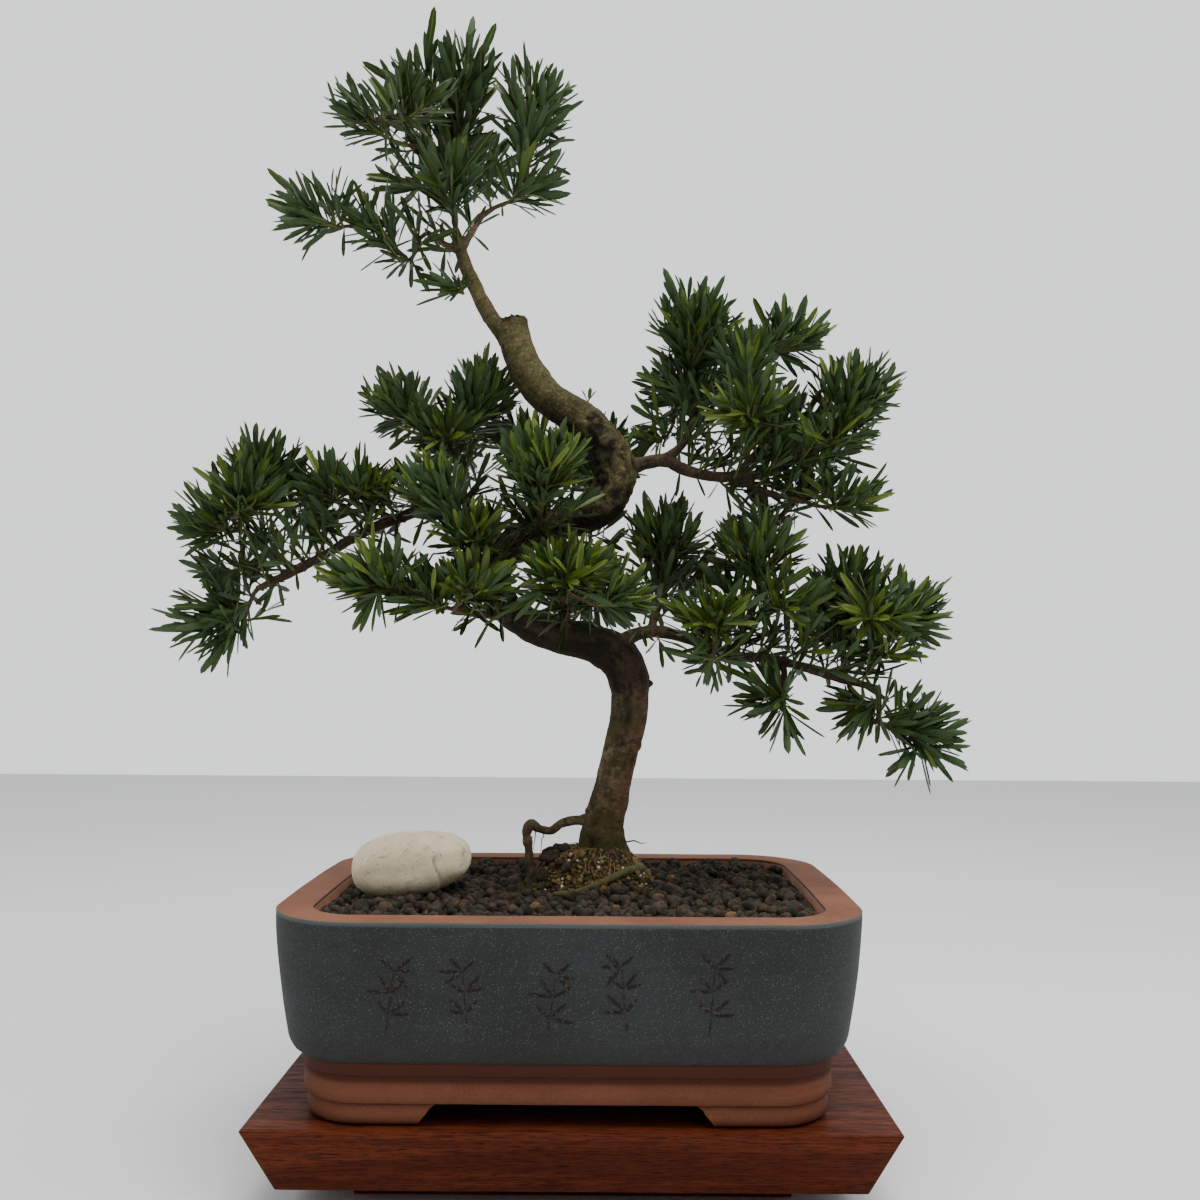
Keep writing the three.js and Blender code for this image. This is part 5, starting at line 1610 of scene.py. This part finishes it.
def grow_shoot(foliage, lobe, route, vigour, tone, rng):
    """Leaves in a spiral from the end of a shoot down, steeper towards its end."""
    foliage.shoot(route)
    runs = run_along(route)
    loose = lobe["loose"] if lobe else 1.0
    zone = min(LEAF_ZONE * loose, runs[-1] * 0.92)
    count = max(6, int(zone / (LEAF_GAP * loose)))
    turn = rng.uniform(0, 2 * math.pi)
    full = lobe["leaf"] if lobe else LEAF_LENGTH * USUAL_LEAF_SIZE
    for k in range(count):
        share = k / (count - 1)
        place = runs[-1] - share * zone
        root = at_run(route, runs, place)
        behind = at_run(route, runs, place - 4)
        axis = unit(root - behind) if place > 4 else unit(route[1] - route[0])
        lean = mix(*LEAF_SPREAD, ease(-0.1, 0.55, share)) + rng.normal(0, 0.12)
        heading = leaning(axis, lean, turn + k * GOLDEN_TURN + rng.normal(0, 0.15))
        size = full * vigour * mix(0.62, 1.0, ease(0, 0.25, share))
        size = size * mix(1.0, 0.8, ease(0.55, 1, share)) * rng.uniform(0.86, 1.1)
        room = leaf_room(lobe, root, heading) * rng.uniform(*LEAF_OVERREACH)
        if room > max(LEAF_LEAST, 0.7 * size):
            size = min(size, room)
            face = leaning(unit(axis + 0.35 * UP), abs(rng.normal(0, LEAF_ROLL)), rng.uniform(0, 6.28))
            shade = tone - 0.9 * share + rng.normal(0, 0.3)
            foliage.leaf(root, heading, face, size, shade, rng.normal(0.03, 0.05))


def leaf_room(lobe, root, heading):
    """How long a leaf may be: from inside a lobe it ends near the lobe's surface."""
    if lobe is None or np.linalg.norm((root - lobe["centre"]) / lobe["half"]) > 1:
        return math.inf
    return run_to_surface(lobe, root, heading)


def grow_tip(foliage, tip, hubs, youth, rng):
    """A shoot whose end leaf reaches one of the crown's furthest tips."""
    hub = min(hubs, key=lambda place: np.linalg.norm(place - tip))
    heading = unit(tip - hub)
    reach = np.linalg.norm(tip - hub)
    length = max(reach - LEAF_LENGTH * 1.05, 4)
    root = hub + heading * length
    foliage.shoot(bowed(hub, root, rng.normal(0, 0.4, 3), 4))
    tone = 1.2 + 1.4 * youth
    side = leaning(heading, 1.5, rng.uniform(0, 6))
    foliage.leaf(root, heading, side, np.linalg.norm(tip - root), tone, 0.0)
    turn = rng.uniform(0, 2 * math.pi)
    for k in range(TIP_LEAVES):
        lean = mix(0.2, 0.9, k / (TIP_LEAVES - 1))
        size = LEAF_LENGTH * rng.uniform(0.6, 0.85)
        direction = leaning(heading, lean, turn + k * GOLDEN_TURN)
        place = root - heading * k * min(2.2, length / 10)
        foliage.leaf(place, direction, heading, size, tone - 0.1 * k, 0.03)


# Small sprouts straight out of the old wood: [place, heading, number of leaves, leaf length]

SPROUTS = [
    [(19, 2, 553), (0.1, 0, 1), 5, 19], [(34, 0, 538), (0.6, -0.2, 1), 4, 14],
    [(42, 2, 523), (0.8, 0, 0.7), 4, 13], [(5, 0, 573), (0.2, 0.2, 1), 3, 12],
    [(-71, 3, 640), (-0.8, -0.3, 0.7), 4, 13], [(-82, 2, 655), (-0.7, 0.5, 0.9), 4, 14],
    [(48, -4, 395), (0.3, -1, -0.6), 5, 22],
    [(52, 4, 402), (0.2, 0.2, 1), 5, 20], [(62, -2, 386), (0.3, -0.8, -0.7), 5, 25]]


def grow_sprouts(foliage):
    rng = np.random.default_rng(SEED + 6)
    for place, heading, count, size in SPROUTS:
        axis = unit(heading)
        start = np.array(place, float)
        foliage.shoot(np.linspace(start - axis * 5, start + axis * 4, 4), SPROUT_RADIUS)
        for k in range(count):
            azimuth = k * GOLDEN_TURN + rng.uniform(-0.3, 0.3)
            direction = leaning(axis, mix(0.15, 0.8, k / count), azimuth)
            length = size * rng.uniform(0.8, 1.1)
            foliage.leaf(start + axis * (4 - k), direction, axis, length, 0.8, 0.05)


# Leaf blade: share of its length and of its half width at each row, and across a row the share of
# the half width and the height of its top side, with the keel below

LEAF_ROWS = ((0.1, 0.32), (0.4, 0.86), (0.72, 1.0), (0.91, 0.68))
LEAF_TOP = ((-1.0, 0.2), (-0.13, 0.03), (0.0, -0.06), (0.13, 0.03), (1.0, 0.2))
LEAF_KEEL = -0.26

# How many tones the blades have, and for each strip round a leaf whether it is blade 0, rib 1 or
# underside 2

LEAF_TONES = 5
LEAF_KINDS = [0, 1, 1, 0, 2, 2]


def make_leaves(name, rows, materials, nodes):
    """One mesh for many leaves. Each has a tone, a pale midrib strip and a paler underside."""
    root, along, face = rows[:, 0:3], rows[:, 3:6], rows[:, 6:9]
    length, tone, bend = rows[:, 9:].T
    face = unit(face - (face * along).sum(1, keepdims=True) * along)
    across = np.cross(along, face)
    half = LEAF_WIDTH / 2 * np.clip(length / LEAF_LENGTH, 0.45, 1.1) ** 0.75
    around = len(LEAF_TOP) + 1
    line = [(0.0, 0.0, 0.0)]
    for run, width in LEAF_ROWS:
        line += [(run, side * width, lift * width) for side, lift in LEAF_TOP]
        line.append((run, 0.0, LEAF_KEEL * mix(0.6, 1.0, width)))
    line.append((1.0, 0.0, 0.0))
    run, side, lift = np.array(line).T
    curl = bend[:, None] * length[:, None] * run ** 2
    points = root[:, None] + along[:, None] * (length[:, None] * run)[..., None]
    points = points + across[:, None] * (half[:, None] * side)[..., None]
    points = points + face[:, None] * (half[:, None] * lift - curl)[..., None]
    quads, tris = leaf_faces(around)
    groups = [repeated(faces, len(rows), len(line)) for faces in (quads, tris)]
    blade = np.clip(np.round(tone), 0, LEAF_TONES - 1).astype(int)
    rib = np.full_like(blade, LEAF_TONES)
    kinds = np.stack([blade, rib, rib + 1], axis=1)
    picks = [kinds[:, LEAF_KINDS * (len(faces) // around)].ravel() for faces in (quads, tris)]
    firsts = 1 + around * np.arange(len(LEAF_ROWS))
    margin = np.zeros(len(line), bool)
    margin[[0, -1, *firsts, *(firsts + len(LEAF_TOP) - 1)]] = True
    piece = add_mesh(name, points.reshape(-1, 3), groups, materials, "foliage",
        picks=np.concatenate(picks), sharp=np.tile(margin, len(rows)))
    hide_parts(*nodes)


def leaf_faces(around):
    """Quads between the rows of one leaf, and triangles at its foot and its tip."""
    here = 1 + np.arange(around)
    after = 1 + (np.arange(around) + 1) % around
    quads = [
        np.stack([low + here, low + after, low + around + after, low + around + here], axis=1)
        for low in around * np.arange(len(LEAF_ROWS) - 1)]
    last = around * (len(LEAF_ROWS) - 1)
    foot = np.stack([np.zeros(around, int), after, here], axis=1)
    end = np.stack([np.full(around, 1 + last + around), last + here, last + after], axis=1)
    return np.concatenate(quads), np.concatenate([foot, end])


# The masses by part of the crown, so that each joined piece stays of a handy size

GROUPS = {
    "crown": ["crown_top", "crown_right", "crown_left", "leader_sprig"],
    "left": ["left_upper", "left_mid", "left_outer", "left_tip"],
    "front": ["centre_left", "front_centre", "front_low", "front_left", "back"],
    "right_upper": ["right_top", "right_top_mid", "right_top_outer", "right_mid"],
    "right_lower": ["right_inner", "right_centre", "right_low_front", "right_low_outer",
        "right_hanging", "right_tip"]}


def make_foliage(samples, leaf_paints, twig_paint, shoot_paint):
    twigs, shoots = [], []
    for group, names in GROUPS.items():
        foliage = Foliage()
        for name in names:
            grow_mass(foliage, name)
        grow_on_boughs(foliage, [MASSES[name][0] for name in names])
        if group == "front":
            grow_sprouts(foliage)
        leaves = clear_of_limbs(np.array(foliage.leaves), samples)
        make_leaves(f"leaves_{group}", leaves, leaf_paints, [f"mass_{name}" for name in names])
        twigs += foliage.twigs
        shoots += foliage.shoots
    wood = (("twigs", twigs, twig_paint, 7, "bark"), ("shoots", shoots, shoot_paint, 5, "foliage"))
    for name, lines, paint, sides, slot in wood:
        points, groups = joined([tube(route, radii, sides) for route, radii in lines])
        add_mesh(name, drift(points, 0.18, 2.5, 110), groups, [paint], slot)


def clear_of_limbs(leaves, samples):
    """The leaves that don't run into a limb."""
    clear = np.ones(len(leaves), bool)
    for share in (0.3, 0.6, 1.0):
        places = leaves[:, 0:3] + leaves[:, 3:6] * (leaves[:, 9] * share)[:, None]
        _, gap = nearest_limb(samples, places)
        clear &= gap > LIMB_CLEARANCE
    return leaves[clear]


# Stage: half of the floor's side in metres, the strength of the soft light from the front and from
# behind and how far from the middle it changes, and the lights, each with name, place, aim, width
# in metres, power in watts and colour

FLOOR_HALF = 3.2
WORLD_STRENGTH = (0.22, 1.36)
WORLD_TURN = 0.8
WORLD_COLOUR = (0.96, 0.98, 1.0, 1)
LIGHTS = [
    ["top", (0.3, -0.5, 2.3), (0, 0, 0.4), 1.6, 52, (1.0, 0.99, 0.96)],
    ["key", (1.0, -1.6, 1.7), (0, 0, 0.45), 1.2, 8, (1.0, 0.98, 0.95)],
    ["fill", (-1.4, -1.4, 1.2), (0, 0, 0.4), 1.2, 3, (0.95, 0.97, 1.0)],
]


def make_floor():
    floor = bpy.data.meshes.new("floor")
    corners = [(x * FLOOR_HALF, y * FLOOR_HALF, 0) for x, y in ((-1, -1), (1, -1), (1, 1), (-1, 1))]
    floor.from_pydata(corners, [], [(0, 1, 2, 3)])
    pale = paint_plain("floor_pale", (236, 236, 238), (240, 240, 241), 0.9, 0.1, 400, 2)
    floor.materials.append(pale)
    add_object("floor", floor)


def make_world():
    """Soft light from all round, brighter from behind than from the front."""
    world = bpy.data.worlds.new("studio")
    world.use_nodes = True
    tree = world.node_tree
    place = add_node(tree, "TexCoord", {}, "Generated")
    behind = add_node(tree, "SeparateXYZ", {"Vector": place}, "Y")
    background = tree.nodes["Background"].inputs
    background["Color"].default_value = WORLD_COLOUR
    strength = add_ramp(tree, behind, -WORLD_TURN, WORLD_TURN, *WORLD_STRENGTH)
    tree.links.new(strength, background["Strength"])
    bpy.context.scene.world = world


def make_lights():
    for name, place, aim, width, power, colour in LIGHTS:
        data = bpy.data.lights.new(name, "AREA")
        data.shape = "SQUARE"
        data.size = width
        data.energy = power
        data.color = colour
        light = add_object(name, data)
        light.location = place
        light.rotation_euler = (Vector(aim) - Vector(place)).to_track_quat("-Z", "Y").to_euler()


def make_camera():
    """Looks along +Y from the front, pitched up, with the photograph's small roll and yaw."""
    right = np.array((*circle(CAMERA_YAW), 0))
    ahead = np.array((-right[1], right[0], 0))
    turn, rise = circle(CAMERA_PITCH)
    forward = ahead * turn + UP * rise
    above = UP * turn - ahead * rise
    turn, rise = circle(CAMERA_ROLL)
    axes = [right * turn + above * rise, above * turn - right * rise, -forward]
    data = bpy.data.cameras.new("camera")
    data.sensor_width = SENSOR_WIDTH
    data.lens = SENSOR_WIDTH * FOCAL_PIXELS / IMAGE_SIZE
    camera = add_object("camera", data)
    place = Matrix.Translation(np.array(CAMERA_PLACE) * MM)
    camera.matrix_world = place @ Matrix(axes).transposed().to_4x4()
    bpy.context.scene.camera = camera


# Dark and light colours of the soil's grains, the mound's grit and the leaves, whose five blades go
# from the deepest green to the youngest

GRAINS = [
    ("grain_charcoal", (38, 36, 29), (70, 66, 54)), ("grain_umber", (46, 38, 32), (80, 68, 57)),
    ("grain_brown", (56, 44, 36), (92, 74, 60)), ("grain_ochre", (98, 76, 52), (130, 104, 72)),
    ("grain_pale", (150, 142, 118), (196, 188, 160))]
GRIT = [
    ("grit_dark", (46, 40, 36), (74, 64, 56)), ("grit_tan", (84, 66, 44), (132, 107, 72)),
    ("grit_yellow", (118, 98, 58), (164, 140, 88)), ("grit_white", (186, 178, 156), (218, 212, 196))]
LEAVES = [
    ("leaf_deep", (34, 45, 17), (43, 57, 20)), ("leaf_dark", (49, 66, 21), (59, 78, 24)),
    ("leaf_mid", (66, 86, 25), (80, 100, 31)), ("leaf_fresh", (80, 100, 30), (97, 116, 38)),
    ("leaf_young", (96, 116, 40), (116, 134, 52), 0.42),
    ("leaf_rib", (74, 98, 38), (90, 116, 46), 0.45),
    ("leaf_under", (58, 78, 46), (70, 92, 54), 0.55)]


def main():
    make_camera()
    make_floor()
    make_world()
    make_lights()
    clay, glaze = paint_terracotta(), paint_stoneware()
    make_pot_body(glaze, clay)
    make_pot_rim(clay, glaze)
    make_pot_base(clay)
    make_pot_feet(clay)
    make_stand(paint_wood())
    make_soil_bed(paint_soil())
    make_grains([paint_grain(*colours) for colours in GRAINS])
    make_mound_litter([paint_grain(*colours) for colours in GRIT],
        paint_twig("straw", (120, 98, 52), (178, 150, 90)),
        paint_twig("moss", (44, 45, 22), (84, 80, 40)))
    make_stone(paint_stone())
    bark = paint_bark()
    samples = sample_limbs()
    make_bark(bark, samples)
    make_roots(bark, paint_twig("root_moss", (54, 53, 28), (100, 95, 54)))
    make_foliage(samples, [paint_leaf(*colours) for colours in LEAVES],
        paint_twig("twig_brown", (58, 46, 34), (96, 78, 54)),
        paint_twig("shoot_green", (74, 84, 40), (104, 116, 58)))


main()
